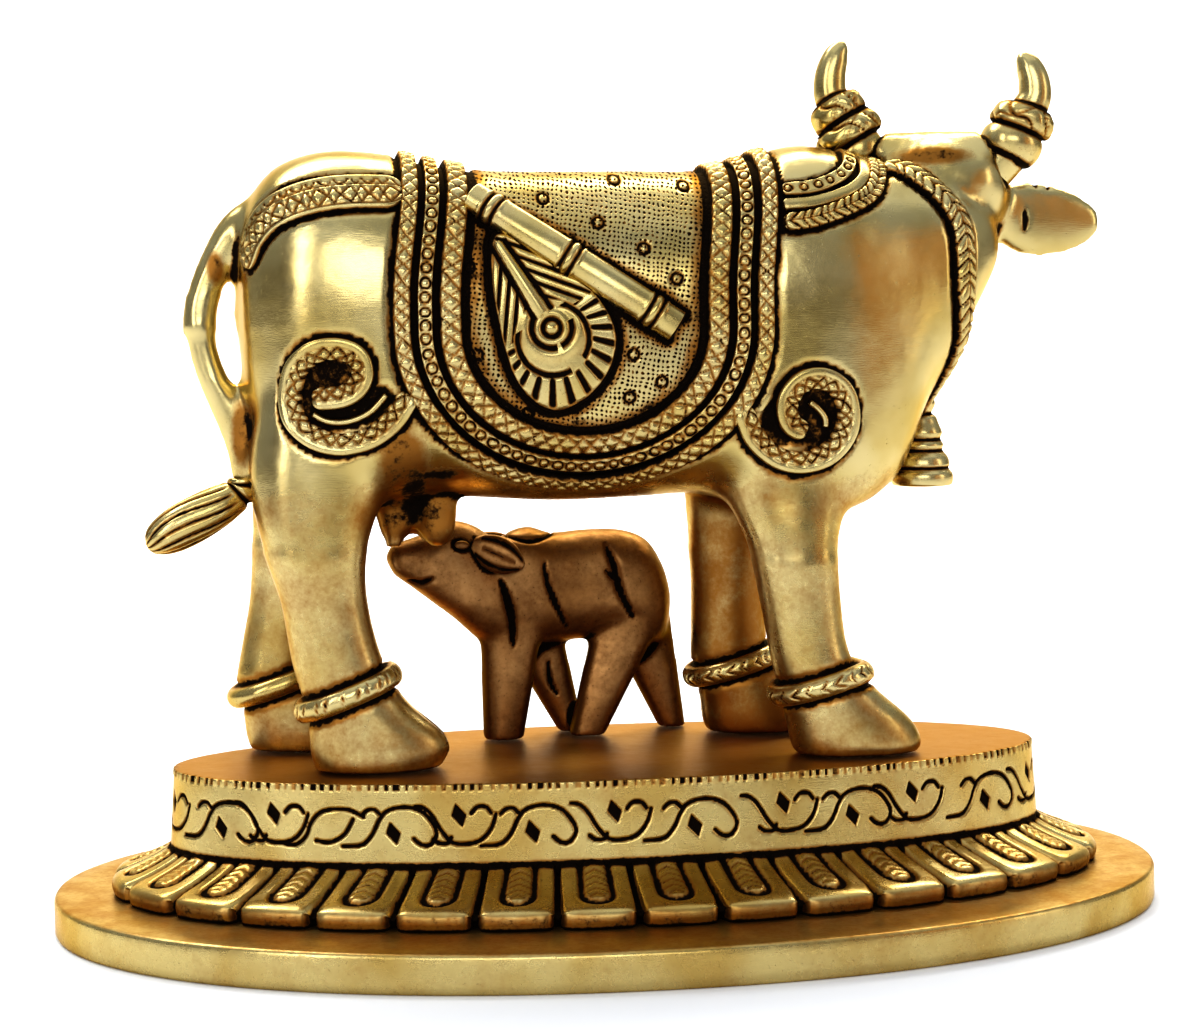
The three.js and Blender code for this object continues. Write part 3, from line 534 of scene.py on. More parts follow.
# %% A carved band along a line
SKIRT = 1.2


def averaged(values, reach, loop):
    """Each row averaged with its neighbours along the line."""
    total = np.zeros_like(values)
    for shift in range(-reach, reach + 1):
        if loop:
            total += np.roll(values, shift, axis=0)
        else:
            index = np.clip(np.arange(len(values)) + shift, 0, len(values) - 1)
            total += values[index]
    return total / (2 * reach + 1)


def carved_band(name, line, half_width, carve, loop=False, lift=0.8, crown=0.0, step=0.3, samples=15,
                tree=None):
    """A closed strip on the skin, flat at crown 0 and half round at crown 1.

    carve(along, across) gives the height of its relief in mm and its stain.
    """
    line = evenly(line, step)
    if loop:
        line = line[:-1]
    centre, outward = on_skin(line, tree)
    reach = max(int(2.2 / step), 1)
    outward = unit(averaged(outward, reach, loop))
    centre = averaged(centre, 2, loop)
    if loop:
        along = np.roll(centre, -1, axis=0) - np.roll(centre, 1, axis=0)
    else:
        along = np.gradient(centre, axis=0)
    across = unit(np.cross(unit(along), outward))
    count = len(centre)
    run = np.arange(count) * step
    length = count * step if loop else run[-1]
    narrow = np.ones(count)
    if not loop:
        end = np.minimum(np.minimum(run, length - run) / half_width, 1)
        narrow = np.sqrt(np.maximum(1 - (1 - end) ** 2, 0))
    face = np.linspace(-1, 1, samples)
    place_across = np.concatenate([[-0.9, -1.0], face, [1.0, 0.9], [-0.9]])
    rows = len(place_across)
    aside = place_across[None, :, None] * half_width * narrow[:, None, None]
    skin = centre[:, None] + across[:, None] * aside
    skin = on_skin(skin.reshape(-1, 3), tree)[0].reshape(count, rows, 3)
    s, t = np.meshgrid(run, place_across, indexing="ij")
    height, stain = carve(s, t)
    flat_top = (1 - soft_step(0.87, 1.0, np.abs(t))) ** 0.5
    round_top = np.sqrt(np.maximum(1 - t**2, 0))
    height = lift * ((1 - crown) * flat_top + crown * round_top) + height
    stain = np.maximum(stain, 0.8 * soft_step(0.93, 1.0, np.abs(t)))
    under = np.zeros(rows, bool)
    under[[0, 1, -3, -2, -1]] = True
    depth = np.where(under, -SKIRT, 0.0)
    height = np.where(under[None, :], depth[None, :], height * narrow[:, None])
    skin = skin + outward[:, None] * height[:, :, None]
    stain = np.where(under[None, :], 1.0, stain)
    if not loop:
        for end in (0, -1):
            skin[end] = centre[end] - outward[end] * SKIRT
    wraps = 1 if loop else 0

    def place(u, v):
        i = np.rint(u * (count - 1 + wraps)).astype(int) % count
        j = np.rint(v * (rows - 1)).astype(int)
        return skin[i, j], stain[i, j]

    return bent_grid(name, count - 1 + wraps, rows - 1, place)

# %% [markdown]
# ## The chaser's punches
#
# Every pattern here is cut with a handful of tools. A flat chisel makes rows of crosses, which leave
# little lozenges; a ring punch makes beads; a curved one makes scales. Each punch below says how
# deep it cuts, and a cut also holds the black patina, so the stain follows the depth.

# %% Patterns: along and across in, height in mm and stain out
def by_hand(s, amount=0.14):
    """The run along a band, with the small unevenness of marks that are set by hand."""
    return s + amount * (np.sin(1.7 * s) + 0.7 * np.sin(0.73 * s + 1.3))


def cut_lines(distance, width, depth):
    cut = bump(distance, width)
    return -depth * cut, cut


def crosses(pitch, half_width, edge=0.84, depth=0.34):
    """A row of crosses between plain rims, leaving lozenges that stand up like small roofs."""
    def carve(s, t):
        p = np.abs((by_hand(s) / pitch) % 1 * 2 - 1)
        inner = t / edge
        gap = np.abs(p - np.abs(inner)) * pitch * 0.36
        height, stain = cut_lines(gap, 0.16, depth)
        roof = np.minimum(gap, 0.5) * 0.42
        line, line_stain = cut_lines((np.abs(t) - edge) * half_width, 0.14, depth * 0.5)
        inside = np.abs(inner) < 1
        height = np.where(inside, height + roof, 0.08) + line
        return height, np.maximum(np.where(inside, stain * 0.5, 0), line_stain * 0.35)
    return carve


def rimmed_crosses(pitch, half_width, rim_side, depth=0.42):
    """Crosses along one edge of a band, and a plain polished rim along the other."""
    def carve(s, t):
        across = t * rim_side
        p = np.abs((by_hand(s, 0.2) / pitch) % 1 * 2 - 1)
        inner = (across + 0.42) / 0.56
        gap = np.abs(p - np.abs(inner)) * pitch * 0.36
        height, stain = cut_lines(gap, 0.18, depth)
        roof = np.minimum(gap, 0.6) * 0.5
        line, line_stain = cut_lines((across - 0.16) * half_width, 0.16, depth * 0.4)
        rim = 0.2 * (1 - ((across - 0.56) / 0.44) ** 2)
        inside = np.abs(inner) < 1
        stain = np.where(inside, stain * 0.6, 0)
        return np.where(inside, height + roof, rim) + line, np.maximum(stain, line_stain * 0.25)
    return carve


def strap_rows(pitch, half_width, upper_side, depth=0.34):
    """A row of half rings above a broad row of crosses, each between plain lines."""
    def carve(s, t):
        s, t = by_hand(s, 0.2), t * upper_side
        ring = np.hypot(((s / pitch) % 1 - 0.5) * pitch, (t - 0.62) * half_width)
        rings = bump(ring - 0.8, 0.17) * (t < 0.66)
        inner = (t + 0.26) / 0.46
        gap = np.abs(np.abs((s / pitch) % 1 * 2 - 1) - np.abs(inner)) * pitch * 0.36
        inside = np.abs(inner) < 1
        cross = bump(gap, 0.18) * inside
        lines = bump((t - 0.3) * half_width, 0.17) + bump((t - 0.93) * half_width, 0.17)
        lines = lines + bump((t + 0.78) * half_width, 0.15)
        roof = np.minimum(gap, 0.5) * 0.42 * inside
        height = roof - depth * np.maximum(rings, cross) - 0.22 * lines
        return height, np.maximum.reduce([0.6 * rings, 0.5 * cross, 0.45 * lines])
    return carve


def beads(pitch, half_width, radius=0.78, depth=0.3):
    """A row of ring punches, each with a small dome left inside."""
    def carve(s, t):
        p = ((by_hand(s, 0.1) / pitch) % 1 - 0.5) * pitch
        r = np.hypot(p, t * half_width)
        height, stain = cut_lines(r - radius, 0.2, depth)
        dome = np.where(r < radius, 0.16 * (1 - (r / radius) ** 2), 0)
        return height + dome, stain * 0.8
    return carve


def scales(pitch, half_width, depth=0.34):
    """Slanting leaf marks on both halves of a rounded band, meeting along its middle."""
    def carve(s, t):
        phase = ((by_hand(s, 0.2) - np.abs(t) * half_width * 0.8) / pitch) % 1
        height, stain = cut_lines(np.minimum(phase, 1 - phase) * pitch, 0.2, depth)
        ridge, ridge_stain = cut_lines(t * half_width, 0.14, depth * 0.4)
        swell = 0.24 * np.sin(np.pi * phase)
        return height + ridge + swell, np.maximum(stain * 0.8, ridge_stain * 0.4)
    return carve


def chevrons(pitch, half_width, reach=0.55, depth=0.3):
    """Arrow marks along the middle of a rounded ring, with a fine line on each side."""
    def carve(s, t):
        phase = ((by_hand(s, 0.25) - np.abs(t) * half_width) / pitch) % 1
        inside = 1 - soft_step(reach - 0.1, reach + 0.06, np.abs(t))
        cut = bump((phase - 0.5) * pitch, 0.19) * inside
        line = bump((np.abs(t) - reach - 0.14) * half_width, 0.13)
        return -depth * cut - 0.14 * line, np.maximum(0.75 * cut, 0.4 * line)
    return carve


def nicks(pitch, half_width, depth=0.34):
    """Short slanting cuts along the middle of a rounded ring."""
    def carve(s, t):
        phase = (by_hand(s, 0.35) / pitch + 0.3 * t) % 1
        cut = bump((phase - 0.5) * pitch, 0.2) * bump(t + 0.15, 0.45)
        return -depth * cut, 0.75 * cut
    return carve


def plain(s, t):
    return -0.2 * t**2, np.zeros_like(t)

print("punches ready")

# %% [markdown]
# ## The saddle cloth
#
# The cloth hangs over the back and ends in a U on each flank. Three borders follow the U: crosses,
# beads, crosses, with deep black grooves between. One number, the level, says how far out from the
# middle of the U a place is, so borders, grooves and the ground inside all share the same shape.

# %% The U of the cloth and its borders
CLOTH_X = -4.8
CLOTH_SHOULDER = 93.6
CLOTH_HALF_LENGTH = 18.5
CLOTH_DROP = 15.8
GROUND_END = 0.96
CLOTH_LEAN = 2.0
BORDERS = {
    "border_inner": (1.015, 1.22, 2.3, crosses),
    "border_beads": (1.26, 1.395, 2.2, beads),
    "border_outer": (1.435, 1.6, 2.35, crosses),
}


def cloth_lean(z):
    """The cloth lies a little further forward on top of the back than on the flanks."""
    return CLOTH_LEAN * soft_step(98, 118, z)


def cloth_level(x, z):
    down = np.maximum(CLOTH_SHOULDER - z, 0) / CLOTH_DROP
    return np.hypot((x - cloth_lean(z) - CLOTH_X) / CLOTH_HALF_LENGTH, down)


def cloth_line(level, steps=60):
    """Up one side, over the back and round both flanks at that level of the U, as a closed line."""
    angle = np.linspace(0, np.pi, steps)
    curve_x = CLOTH_X - CLOTH_HALF_LENGTH * level * np.cos(angle)
    curve_z = CLOTH_SHOULDER - CLOTH_DROP * level * np.sin(angle)

    def over(x):
        _, top, bottom, half, _ = rows_at(TRUNK, np.array([x]))[0]
        middle = (top + bottom) / 2
        rise = (CLOTH_SHOULDER - middle) / (top - middle)
        start = math.copysign(abs(rise) ** (BODY_POWER / 2), rise)
        turn = np.linspace(math.asin(start), math.pi - math.asin(start), steps)
        y = -half * signed_power(np.cos(turn), 2 / BODY_POWER)
        z = middle + (top - middle) * signed_power(np.sin(turn), 2 / BODY_POWER)
        return np.column_stack([x + cloth_lean(z), COW_Y + y, z])

    near = trunk_side(curve_x, curve_z, -1)
    far = trunk_side(curve_x, curve_z, 1)[::-1]
    front = over(curve_x[-1])
    back = over(curve_x[0])[::-1]
    return np.vstack([near, front[1:], far[1:], back[1:]])


bands = {}
for name, (low, high, pitch, punch) in BORDERS.items():
    middle_level = (low + high) / 2
    half_width = (high - low) / 2 * (CLOTH_HALF_LENGTH + CLOTH_DROP) / 2
    line = evenly(cloth_line(middle_level), 0.3)
    length = len(line) * 0.3
    bands[name] = carved_band(name, line, half_width, punch(length / round(length / pitch), half_width),
                              loop=True, step=0.3, samples=13)
    print(name, "half width", round(half_width, 2), "faces", len(bands[name].polygons))

# %% [markdown]
# ## Spirals, strap, hump bands and garland
#
# On each haunch and shoulder a band of lozenges curls in on itself. A strap runs over the rump, three
# bands sit behind the hump, and a beaded garland hangs round the neck down to the bell. They are the
# same kind of strip as the borders, each with its own punch, and the far side gets them too.

# %% Lines as x, z places on the flank
HAUNCH_SPIRAL = [
    (-31.8, 84.4), (-34.4, 80.4), (-37.3, 78.1), (-39.6, 77.2), (-42.8, 76.8), (-46.4, 77.8), (-49.0, 80.2),
    (-49.9, 83.3), (-49.8, 86.0), (-48.8, 88.8), (-46.1, 90.9), (-42.7, 91.3), (-39.9, 90.2), (-39.0, 87.7),
    (-40.0, 85.3), (-42.5, 84.0), (-46.9, 83.8),
]
SHOULDER_SPIRAL = [
    (19.6, 81.2), (20.2, 79.0), (21.6, 76.0), (24.9, 73.2), (28.8, 72.3), (32.9, 73.4), (35.8, 76.5),
    (36.4, 80.2), (35.2, 83.5), (32.2, 85.3), (28.8, 84.8), (26.5, 82.0), (27.0, 78.4), (29.8, 77.0),
]
HAUNCH_RIDGE = [(-46.9, 81.6), (-44.5, 80.3), (-41.4, 80.2), (-38.0, 81.6), (-35.3, 84.4)]
SHOULDER_RIDGE = [(29.9, 81.8), (31.4, 80.7), (32.7, 79.0), (32.6, 77.4)]
RUMP_STRAP = [(-31.6, 115.2), (-41.6, 115.2), (-48.2, 114.0), (-52.8, 111.6), (-55.4, 107.8), (-56.2, 103.6)]
HUMP_TOP = [(26.8, 114.6), (31.9, 115.0), (36.4, 116.6), (38.6, 118.4), (39.6, 120.6)]
HUMP_MIDDLE = [(26.6, 112.2), (32.2, 112.7), (37.8, 114.4), (40.8, 116.6), (41.8, 119.2)]
HUMP_ROPE = [(26.5, 109.4), (31.4, 110.0), (37.6, 112.0), (42.0, 114.4), (43.8, 117.6)]
GARLAND = [
    (45.0, 118.6), (49.6, 117.2), (53.8, 113.8), (56.4, 109.6), (57.0, 104.0),
    (56.2, 98.0), (54.0, 92.0), (51.2, 86.0), (50.0, 81.4),
]
SPIRAL_HALF_WIDTH = 1.8
THROAT_Z = 99.0


def garland_line(count=120):
    """Down the near side of the neck, past the bell on the chest and up the far side to the throat."""
    line = over_back(GARLAND, count)
    down = np.linspace(0, 1, count)
    inward = 1 - 0.9 * soft_step(0.45, 1.0, np.concatenate([down, down[-2::-1]]))
    line[:, 1] = COW_Y + (line[:, 1] - COW_Y) * inward
    return line[(line[:, 1] < COW_Y) | (line[:, 2] < THROAT_Z)]


for side, flank in ((-1, "near"), (1, "far")):
    for title, line, turn, ridge in (("haunch", HAUNCH_SPIRAL, 1, HAUNCH_RIDGE),
                                     ("shoulder", SHOULDER_SPIRAL, -1, SHOULDER_RIDGE)):
        carve = rimmed_crosses(2.25, SPIRAL_HALF_WIDTH, turn * side)
        bands[f"{title}_spiral_{flank}"] = carved_band(
            f"{title}_spiral_{flank}", flank_line(line, side), SPIRAL_HALF_WIDTH, carve, step=0.25, samples=17,
            lift=1.0)
        bands[f"{title}_ridge_{flank}"] = carved_band(
            f"{title}_ridge_{flank}", flank_line(ridge, side), 0.55, plain, samples=7, lift=0.35, crown=0.8)

for side, flank in ((-1, "near"), (1, "far")):
    name = f"rump_strap_{flank}"
    bands[name] = carved_band(name, flank_line(RUMP_STRAP, side), 3.3, strap_rows(2.2, 3.3, -side),
                              samples=29, lift=0.7)
bands["hump_band_top"] = carved_band("hump_band_top", over_back(HUMP_TOP), 1.15, beads(2.4, 1.15, 0.6),
                                     lift=0.7)
bands["hump_band_middle"] = carved_band("hump_band_middle", over_back(HUMP_MIDDLE), 0.95, plain, lift=0.8)
bands["hump_rope"] = carved_band("hump_rope", over_back(HUMP_ROPE), 1.5, scales(1.45, 1.5), lift=1.0,
                                 crown=0.5)
bands["garland"] = carved_band("garland", garland_line(), 2.0, scales(1.9, 2.0), lift=1.1, crown=0.6)
print("bands:", {name: len(mesh.polygons) for name, mesh in bands.items()})

# %% [markdown]
# ## Feather and flute
#
# On the near flank a peacock feather lies on the cloth, with a flute across it. The feather is a disc
# bent from rings and spokes: its eye, teardrop and barbs are cut where its own outline says. The
# flute is a round bar let half into the cloth, with pairs of ring collars.

# %% The feather's outline, and its relief in x, z
FEATHER_EYE = np.array([-10.1, 93.9])
FEATHER_OUTLINE = [
    (-18.7, 108.4), (-19.4, 102.1), (-18.7, 96.2), (-17.5, 90.4), (-15.6, 85.4), (-12.5, 82.0), (-9.2, 80.9),
    (-5.6, 82.2), (-2.3, 85.1), (-0.3, 88.9), (0.1, 93.0), (-1.5, 97.0), (-4.8, 101.0), (-10.1, 105.2),
    (-15.1, 108.2),
]
FEATHER_LIFT = 0.8
STEM_TOP = np.array([-18.4, 107.4])
STEM_WAY = unit(STEM_TOP - FEATHER_EYE)
STEM_SIDE = np.array([STEM_WAY[1], -STEM_WAY[0]])
DROP_CENTRE, DROP_RADIUS = np.array([0.2, -1.7]), 5.5


def feather_relief(x, z, reach):
    """Height and stain; reach is 0 at the eye and 1 on the outline."""
    from_eye = np.column_stack([x, z]) - FEATHER_EYE
    r = np.hypot(*from_eye.T)
    angle = np.arctan2(from_eye[:, 1], from_eye[:, 0])
    along, aside = from_eye @ STEM_WAY, from_eye @ STEM_SIDE
    drop = np.hypot(*(from_eye - DROP_CENTRE).T) - DROP_RADIUS
    inside = 1 - soft_step(0.9, 0.97, reach)
    upper = soft_step(0.5, 2.0, along)
    slanting = (along + 1.28 * np.abs(aside)) / 2.3
    fan = angle * 24 / (2 * np.pi)
    phase = np.where(upper > 0.5, slanting, fan)
    barb = soft_step(0.42, 0.86, np.abs((phase % 1) - 0.5) * 2)
    barb_zone = soft_step(0.2, 0.9, drop) * inside
    half = 1.25 - 0.035 * along
    on_stem = (along > 2.4) & (along < 15.2)
    stem_edge = bump(np.abs(aside) - half - 0.4, 0.42) * on_stem
    left, low = from_eye[:, 0] < 0.8, from_eye[:, 1] < 1.6
    grooves = [
        0.9 * barb * barb_zone,
        bump(drop, 0.42) * ((along < 2.2) & ~((angle > -1.15) & (angle < -0.75))),
        bump(r - 1.35, 0.36),
        bump(r - 3.1, 0.42) * (left & low | (~left & (np.abs(angle + 0.35) < 0.75))),
        stem_edge,
    ]
    stain = np.maximum.reduce([soft_step(0.93, 0.985, reach), *grooves])
    height = FEATHER_LIFT * (1 - soft_step(0.9, 1.0, reach)) ** 0.5 - 0.55 * np.maximum.reduce(grooves)
    height += 0.35 * bump(r, 0.6) + 0.2 * bump(r - 2.2, 0.5) + 0.25 * bump(r - 4.3, 0.8)
    stem = on_stem & (np.abs(aside) < half)
    height = np.where(stem, FEATHER_LIFT + 0.5 * (1 - (aside / half) ** 2), height)
    return height, np.where(stem, 0, stain)


def feather_mesh(spokes=340, rings=60):
    outline = curve_through(FEATHER_OUTLINE, spokes + 1, loop=True)

    def place(u, v):
        ring = np.rint(u * (rings + 2)).astype(int)
        reach = np.clip((ring - 1) / rings, 0, 1)
        edge = outline[np.rint(v * spokes).astype(int) % spokes]
        spot = FEATHER_EYE + (edge - FEATHER_EYE) * reach[:, None]
        skin, outward = on_skin(trunk_side(spot[:, 0], spot[:, 1], -1))
        height, stain = feather_relief(spot[:, 0], spot[:, 1], reach)
        height = np.where(ring == rings + 2, -SKIRT, height)
        points = skin + outward * height[:, None]
        eye = on_skin(trunk_side(*FEATHER_EYE[:, None], -1))
        points[ring == 0] = eye[0][0] - eye[1][0] * SKIRT
        return points, np.where(ring >= rings + 1, 1, stain)

    return bent_grid("feather", rings + 2, spokes, place)


def closed_back(mesh):
    """Fills the open rim behind a sheet, so that it is a closed body."""
    bm = bmesh.new()
    bm.from_mesh(mesh)
    rim = [e for e in bm.edges if e.is_boundary]
    bmesh.ops.holes_fill(bm, edges=rim, sides=0)
    bmesh.ops.recalc_face_normals(bm, faces=bm.faces)
    bm.to_mesh(mesh)
    bm.free()
    return mesh


bands["feather"] = closed_back(feather_mesh())

# %% The flute
FLUTE_FROM, FLUTE_TO = np.array([-21.9, 114.0]), np.array([9.6, 93.5])
FLUTE_RADIUS = 2.5
FLUTE_LIFT = 0.75
COLLARS = [0.11, 0.475, 0.87]
COLLAR_HALF = 0.035


def flute_mesh(rings=180, sides=44):
    t = np.linspace(0, 1, rings)
    spot = FLUTE_FROM + (FLUTE_TO - FLUTE_FROM) * t[:, None]
    skin, outward = on_skin(trunk_side(spot[:, 0], spot[:, 1], -1))
    skin = averaged(skin, 6, False)
    outward = unit(averaged(outward, 6, False))
    along = unit(np.gradient(skin, axis=0))
    across = unit(np.cross(along, outward))
    centres = skin + outward * FLUTE_LIFT
    radius = np.full(rings, FLUTE_RADIUS)
    stain = np.zeros(rings)
    for middle in COLLARS:
        radius += 0.22 * (bump(t - middle, 0.014) + 0.8 * bump(np.abs(t - middle) - COLLAR_HALF, 0.006))
        cut = bump(np.abs(t - middle) - COLLAR_HALF * 0.62, 0.0075)
        radius -= 0.42 * cut
        stain = np.maximum(stain, cut)
    end = np.minimum(np.minimum(t, 1 - t) / 0.012, 1)
    radius *= 0.84 + 0.16 * np.sqrt(1 - (1 - end) ** 2)
    stain = np.maximum(stain, 0.9 * (t > 0.985))
    return ringed("flute", centres, across * radius[:, None], outward * radius[:, None] * 0.86, power=2.2,
                  sides=sides, relief=lambda ring, angle: (np.zeros(len(ring)), stain[ring]))


bands["flute"] = flute_mesh()
print("feather and flute:", len(bands["feather"].polygons), len(bands["flute"].polygons), "faces")

# %% The cloth's ground, with ring punches, and a dark groove and painted shadow round the feather and the flute
GROUND_PROUD = 0.12
RINGS = [
    (-10.4, 113.8), (-2.2, 109.9), (4.6, 105.8), (9.5, 101.1), (-22.5, 103.4), (-21.5, 90.0),
    (-13.9, 80.8), (2.5, 89.6), (6.9, 85.3), (1.9, 83.0), (1.3, 116.8), (12.0, 115.6),
]
RING_RADIUS = 0.85


def punched_rings(x, z):
    height, stain = np.zeros_like(x), np.zeros_like(x)
    for ring_x, ring_z in RINGS:
        r = np.hypot(x - ring_x, z - ring_z)
        cut = bump(r - RING_RADIUS, 0.24)
        height += -0.34 * cut + np.where(r < RING_RADIUS, 0.2 * (1 - (r / RING_RADIUS) ** 2), 0)
        stain = np.maximum(stain, cut)
    return height, stain


def cloth_ground():
    columns, rows = 130, 330

    def place(u, v):
        x = CLOTH_X + CLOTH_HALF_LENGTH * 1.1 * (2 * u - 1)
        _, top, bottom, half, _ = rows_at(TRUNK, x).T
        middle = (top + bottom) / 2
        hem = CLOTH_SHOULDER - CLOTH_DROP * 1.1 * np.sqrt(np.maximum(1 - (2 * u - 1) ** 2, 0))
        hem = np.maximum(hem, bottom + 1)
        start = np.arcsin(signed_power((hem - middle) / (top - middle), BODY_POWER / 2))
        turn = start + (np.pi - 2 * start) * v
        y = COW_Y - half * signed_power(np.cos(turn), 2 / BODY_POWER)
        z = middle + (top - middle) * signed_power(np.sin(turn), 2 / BODY_POWER)
        points, outward = on_skin(np.column_stack([x + cloth_lean(z), y, z]))
        height, stain = punched_rings(points[:, 0], points[:, 2])
        beside = nearness(points, [bands["feather"], bands["flute"]], 2.4)
        shadow = soft_step(0.5, 0.78, beside)
        level = cloth_level(points[:, 0], points[:, 2])
        edge = soft_step(GROUND_END - 0.02, GROUND_END + 0.01, level)
        # Painted shadow and shade: beside the feather and the flute the dark line is patina in a shallow
        # groove plus painted shadow, the softer ring beyond is painted shade, and so is the soft band inside
        # the ground's edge next to the raised border.
        stain = np.maximum.reduce([stain, edge, shadow, 0.36 * soft_step(0.12, 0.5, beside),
                                   0.36 * soft_step(GROUND_END - 0.14, GROUND_END - 0.03, level)])
        height = height + GROUND_PROUD - 0.5 * np.maximum(edge, shadow) - 0.9 * soft_step(1.05, 1.09, level)
        rim = (u < 1e-6) | (u > 1 - 1e-6) | (v < 1e-6) | (v > 1 - 1e-6)
        height = np.where(rim, -SKIRT, height)
        return points + outward * height[:, None], stain

    return closed_back(bent_grid("cloth_ground", columns, rows, place))


bands["cloth_ground"] = cloth_ground()
print("cloth ground:", len(bands["cloth_ground"].polygons), "faces")

# %% [markdown]
# ## Anklets, horns, tail tuft and bell
#
# An anklet is one more carved band, closed round a leg and tilted up towards the toe. The others
# stand free, so they are bent from their own paths. Each horn has rolls of cloth wrapped round its
# root. The bell is spun on a lathe line, as the real one was turned.

# %% Anklets: middle x, y, z, half length, half width, upward slope towards the toe, and their marks
ANKLET_HALF_HEIGHT = 1.75
ANKLETS = {
    "anklet_near_hind": (-40.8, -9.5, 38.4, 8.5, 7.5, 0.4, nicks(2.1, ANKLET_HALF_HEIGHT)),
    "anklet_far_hind": (-51.8, 13.5, 37.0, 8.5, 7.3, 0.34, plain),
    "anklet_near_fore": (33.0, -11.0, 37.4, 8.1, 7.4, 0.3, chevrons(2.3, ANKLET_HALF_HEIGHT)),
    "anklet_far_fore": (22.9, 14.5, 37.0, 7.9, 7.3, 0.3, chevrons(2.0, ANKLET_HALF_HEIGHT)),
}


def anklet_line(x, y, z, half_length, half_width, slope, count=120):
    turn = np.linspace(0, 2 * np.pi, count)
    reach = half_length * np.cos(turn)
    return np.column_stack([x + reach, y + half_width * np.sin(turn), z + reach * slope])


for name, (*sizes, carve) in ANKLETS.items():
    bands[name] = carved_band(name, anklet_line(*sizes), ANKLET_HALF_HEIGHT, carve, loop=True, lift=2.0,
                              crown=0.7, step=0.3, samples=17)

# %% Horns: distance from the middle of the head, height, radius
HORN = [
    (9.6, 117.8, 3.4), (11.6, 120.4, 3.7), (13.0, 123.0, 3.8), (14.2, 125.6, 3.5), (15.5, 128.4, 3.0),
    (16.6, 131.2, 2.7), (16.5, 134.2, 2.5), (15.7, 136.9, 2.1), (15.0, 138.4, 1.5), (14.7, 139.2, 0.9),
    (14.6, 139.6, 0.3),
]
HORN_ROOT = 122
# place along the horn, height, half length along the horn, leaf marks round it
LEFT_ROLLS = [(0.15, 0.7, 0.07, 0), (0.295, 1.9, 0.082, 7), (0.45, 1.5, 0.08, 6)]
RIGHT_ROLLS = [(0.21, 1.3, 0.10, 0), (0.40, 1.7, 0.088, 6)]


def horn_mesh(name, side, rise, rolls, rings=150, sides=72):
    rows = []
    for out, height, radius in HORN:
        point = HEAD_START + head_right * side * out
        z = height if height < HORN_ROOT else HORN_ROOT + (height - HORN_ROOT) * rise
        rows.append((point[0], point[1] + 1.5, z, radius))

    def relief(ring, angle):
        t = ring / (rings - 1)
        tilt = 0.022 * np.cos(angle + 0.8)
        height, stain = np.zeros(len(t)), np.zeros(len(t))
        for count, (middle, proud, reach, leaves) in enumerate(rolls):
            off = (t - middle - tilt) / reach
            near = np.abs(off) < 1
            height += proud * np.sqrt(np.maximum(1 - off**2, 0)) ** 0.8
            stain = np.maximum(stain, bump(np.abs(off) - 1, 0.2))
            if leaves:
                turn = angle / (2 * np.pi) * leaves + 0.3 * np.sin(2 * angle + count)
                slope = 0.42 * off + 0.12 * np.sin(5 * angle)
                leaf = np.minimum((turn + slope) % 1, (-turn - slope) % 1)
                cross = np.minimum((turn - slope) % 1, (slope - turn) % 1)
                cut = np.maximum(bump(leaf, 0.05), 0.6 * bump(cross, 0.045)) * near
                height += (0.7 * leaf - 0.4 * cut) * near
                stain = np.maximum(stain, 0.65 * cut)
        return height, stain

    return limb(name, rows, rings, sides, relief)


bands["horn_left"] = horn_mesh("horn_left", -1, 1.0, LEFT_ROLLS)
bands["horn_right"] = horn_mesh("horn_right", 1, 0.86, RIGHT_ROLLS)

# %% Tuft of the tail, with locks combed along it
TUFT = [
    (-57.6, -1.3, 71.0, 2.3), (-57.7, -1.3, 69.6, 2.7), (-58.8, -1.4, 68.4, 2.7), (-61.0, -1.7, 67.1, 3.2),
    (-64.6, -1.9, 65.2, 3.6), (-68.2, -2.1, 63.3, 3.5), (-70.8, -2.2, 61.9, 2.8), (-72.2, -2.3, 61.1, 1.8),
    (-72.8, -2.3, 60.8, 0.6),
]


def tuft_relief(ring, angle, rings=110):
    t = ring / (rings - 1)
    lock = (angle / (2 * np.pi) * 11 + 0.35 * np.sin(7 * t)) % 1
    cut = bump(np.minimum(lock, 1 - lock), 0.12) * soft_step(0.2, 0.3, t)
    collar = np.maximum(bump(t - 0.06, 0.02), bump(t - 0.17, 0.02))
    return -0.42 * cut - 0.5 * collar, np.maximum(cut * 0.9, collar)


bands["tail_tuft"] = limb("tail_tuft", TUFT, 110, 72, tuft_relief)

# %% The bell, spun from its profile
BELL_X = 52.6
BELL = [
    (0.8, 82.4), (1.8, 81.6), (2.2, 80.2), (1.6, 78.8), (2.3, 78.2), (2.7, 77.2), (3.3, 75.6), (3.0, 74.6),
    (3.5, 73.6), (3.3, 72.8), (4.2, 71.6), (4.5, 70.4), (4.3, 69.8), (5.0, 68.8), (4.9, 67.2), (4.0, 66.9),
]
bands["bell"] = turned_mesh("bell", BELL, BELL_X, COW_Y, steps=56, samples=90)
bell_radius = np.hypot(*(corners(bands["bell"])[:, :2] - [BELL_X, COW_Y]).T)
bell_z = corners(bands["bell"])[:, 2]
bell_lines = sum(bump(bell_z - z, 0.28) for z in (78.7, 74.5, 72.7, 69.9))
set_stain(bands["bell"], bell_lines)
print("ornaments:", sum(len(mesh.polygons) for mesh in bands.values()), "faces")
